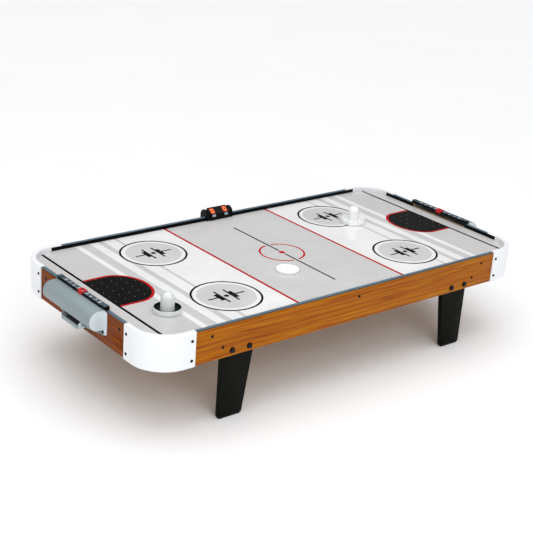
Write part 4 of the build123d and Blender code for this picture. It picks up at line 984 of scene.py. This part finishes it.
def make_felt(end):
    """The felt disc under a striker, just clear of the printed board."""
    node = f"striker_felt_{end}"
    x, y, radius, low, high = disc_of(node)
    under = low + FELT_LIFT
    profile = [
        (0, under), (radius - FELT_EDGE, under), (radius, under + FELT_EDGE),
        (radius, high), (0, high),
    ]
    bm = bmesh.new()
    lathe(bm, profile, x, y, 72)
    finish_piece(node + "_disc", bm, ["felt"], f"striker_{end}", replaces=(node,))


def make_striker(end, paint, moat):
    """A rim round a moat, with a domed knob in the middle."""
    x, y, radius, foot, top = disc_of(f"striker_{end}")
    dome_z = top - KNOB_R
    rim_z = foot + RIM_HEIGHT
    floor_z = foot + MOAT_HEIGHT
    pocket_r, pocket_depth = POCKET
    profile = [(0, foot + pocket_depth), (pocket_r, foot + pocket_depth), (pocket_r, foot)]
    profile += arc(radius - FOOT_EDGE, foot + FOOT_EDGE, FOOT_EDGE, FOOT_EDGE, -90, 0, 4)
    rim_middle = radius - RIM_BULGE - RIM_ROUND
    profile += arc(rim_middle, rim_z - RIM_ROUND, RIM_ROUND, RIM_ROUND, 0, 180, 8)
    moat_from = len(profile) - 1
    profile += [(radius - inward, floor_z + rise) for inward, rise in MOAT_OUTER]
    profile += [(KNOB_FOOT_R + outward, floor_z + rise) for outward, rise in MOAT_INNER]
    moat_to = len(profile) - 1
    profile += [(KNOB_R + KNOB_NECK[0], dome_z - KNOB_NECK[1])]
    profile += arc(0, dome_z, KNOB_R, KNOB_R, 0, 90, 18)[:-1] + [(0, top)]
    paints = [1 if moat_from <= i < moat_to else 0 for i in range(len(profile) - 1)]
    bm = bmesh.new()
    lathe(bm, profile, x, y, 112, paints)
    finish_piece(
        f"striker_{end}_shell", bm, [paint, moat],
        f"striker_{end}", smooth=40, replaces=(f"striker_{end}",),
    )
    make_felt(end)


# ------------------------------------------------------------------ wood and trim
def make_aprons():
    """Laminate outside, raw board on the other faces."""
    for side, sign in SIDES:
        refine(
            f"side_apron_{side}", ["fibreboard", "wood_side"], 0.3, shortest=20,
            pick=lambda centre, normal: 1 if normal.y * sign > 0.5 else 0,
        )
    # the end aprons' outside takes the darker tones, which are painted shade
    for end, sign in ENDS:
        refine(
            f"end_apron_{end}", ["fibreboard", "wood_end_painted_shade"], 0.3, shortest=5,
            pick=lambda centre, normal: 1 if normal.x * sign > 0.5 else 0,
        )


def make_rails():
    # the top faces take the painted highlight, and the other faces stay black
    def rail_paint(centre, normal):
        return 1 if centre.z > RAIL_TOP - 0.1 else 0

    for node in ("side_rail_front", "side_rail_back", "end_rails_left", "end_rails_right"):
        paints = ["rail_black", "rail_top_painted_highlight"]
        refine(node, paints, 0.35, pick=rail_paint, shortest=1.0)


def make_legs():
    for side, _ in SIDES:
        for end, _ in ENDS:
            refine(f"leg_{side}_{end}", ["legs"], 0.6, shortest=3)
    refine("leg_bolts", ["screw"], 0, smooth=40)


def make_goal_boxes():
    """The ends of the hood and its flange are painted paler than its round face: painted highlight.
    """
    def hood_paint(centre, normal):
        return 1 if abs(normal.y) > 0.8 or abs(centre.x) < HALF_L + FLANGE_T + 0.1 else 0

    for end, _ in ENDS:
        refine(
            f"goal_box_{end}", ["grey", "grey_painted_highlight"], 0.5,
            shortest=1.5, smooth=30, pick=hood_paint,
        )


def finish_cad_nodes():
    """Materials for the CAD nodes that are shown as they are."""
    for node, paint in {
        "playfield_board": "ice_white", "bottom_panel": "fibreboard", "corner_blocks": "fibreboard",
        "side_batten_front": "fibreboard", "side_batten_back": "fibreboard",
        "end_batten_left": "fibreboard", "end_batten_right": "fibreboard",
        "cross_brace_left": "fibreboard", "cross_brace_right": "fibreboard",
        "leg_washers": "screw", "leg_nuts": "zinc", "foot_pads": "foam",
        "fan_housing": "black", "fan_impeller": "black", "fan_stator": "copper",
        "fan_shaft": "zinc", "fan_grille": "black", "fan_screws": "zinc",
        "switch_body": "black", "switch_rocker": "black", "power_jack": "black",
        "scorer_back_cover": "black", "scorer_circuit_board": "circuit",
        "scorer_digits": "digit_face",
        "score_button_left": "button", "score_button_right": "button",
    }.items():
        repaint(node, paint)


# ------------------------------------------------------------------------ studio
FLOOR_REACH = 30.0
DOME = ((0.0, 0.16), (0.55, 0.18), (0.78, 0.62), (1.0, 1.0))      # sine of the elevation, level
DOME_STRENGTH = 2.0
LAMPS = (                           # name, position and size in metres, watts
    ("key", (-1.0, -2.9, 1.7), 2.0, 29.0),
    ("fill", (-3.0, -0.4, 1.6), 2.0, 9.0),
)
LAMPS_AIM_AT = (0, 0, 0.15)


def make_floor():
    paint = Paint("studio_floor", rgb(251, 251, 252), 0.7)
    tone = paint.noise(paint.place((1, 1, 1)), 3.0, detail=2)
    paint.color(paint.ramp(tone, [(0.3, rgb(250, 250, 251)), (0.7, rgb(252, 252, 253))]))
    mesh = bpy.data.meshes.new("floor")
    corners = rectangle(-FLOOR_REACH, FLOOR_REACH, -FLOOR_REACH, FLOOR_REACH)
    mesh.from_pydata([(x, y, 0) for x, y in corners], [], [(0, 1, 2, 3)])
    mesh.materials.append(paint.material)
    floor = bpy.data.objects.new("floor", mesh)
    bpy.context.scene.collection.objects.link(floor)


def make_lights():
    """A dome, dim near the horizon and bright overhead, and two soft lamps."""
    world = bpy.data.worlds.new("studio")
    world.use_nodes = True
    tree = world.node_tree
    sky = tree.nodes.new("ShaderNodeTexCoord")
    split = tree.nodes.new("ShaderNodeSeparateXYZ")
    ramp = tree.nodes.new("ShaderNodeValToRGB")
    fill_ramp(ramp, [(height, (level, level, level, 1)) for height, level in DOME])
    tree.links.new(sky.outputs["Generated"], split.inputs["Vector"])
    tree.links.new(split.outputs["Z"], ramp.inputs["Fac"])
    tree.links.new(ramp.outputs["Color"], tree.nodes["Background"].inputs["Color"])
    tree.nodes["Background"].inputs["Strength"].default_value = DOME_STRENGTH
    bpy.context.scene.world = world

    for name, at, size, power in LAMPS:
        data = bpy.data.lights.new(name, "AREA")
        data.size = size
        data.energy = power
        lamp = bpy.data.objects.new(name, data)
        lamp.location = at
        aim = Vector(LAMPS_AIM_AT) - Vector(at)
        lamp.rotation_euler = aim.to_track_quat("-Z", "Y").to_euler()
        bpy.context.scene.collection.objects.link(lamp)
    bpy.context.scene.view_settings.view_transform = "Standard"


make_camera()
make_print_zones()
make_print_lines()
make_face_off_spots()
make_air_holes()
make_guards()
make_aprons()
make_rails()
make_legs()
make_goal_boxes()
make_screw_heads()
make_score_bars()
make_scorer()
make_puck()
# the near striker takes painted shade on its body and near black painted shade in its moat
make_striker("left", "striker_near_painted_shade", "moat")
make_striker("right", "striker_far", "striker_far")
finish_cad_nodes()
make_floor()
make_lights()
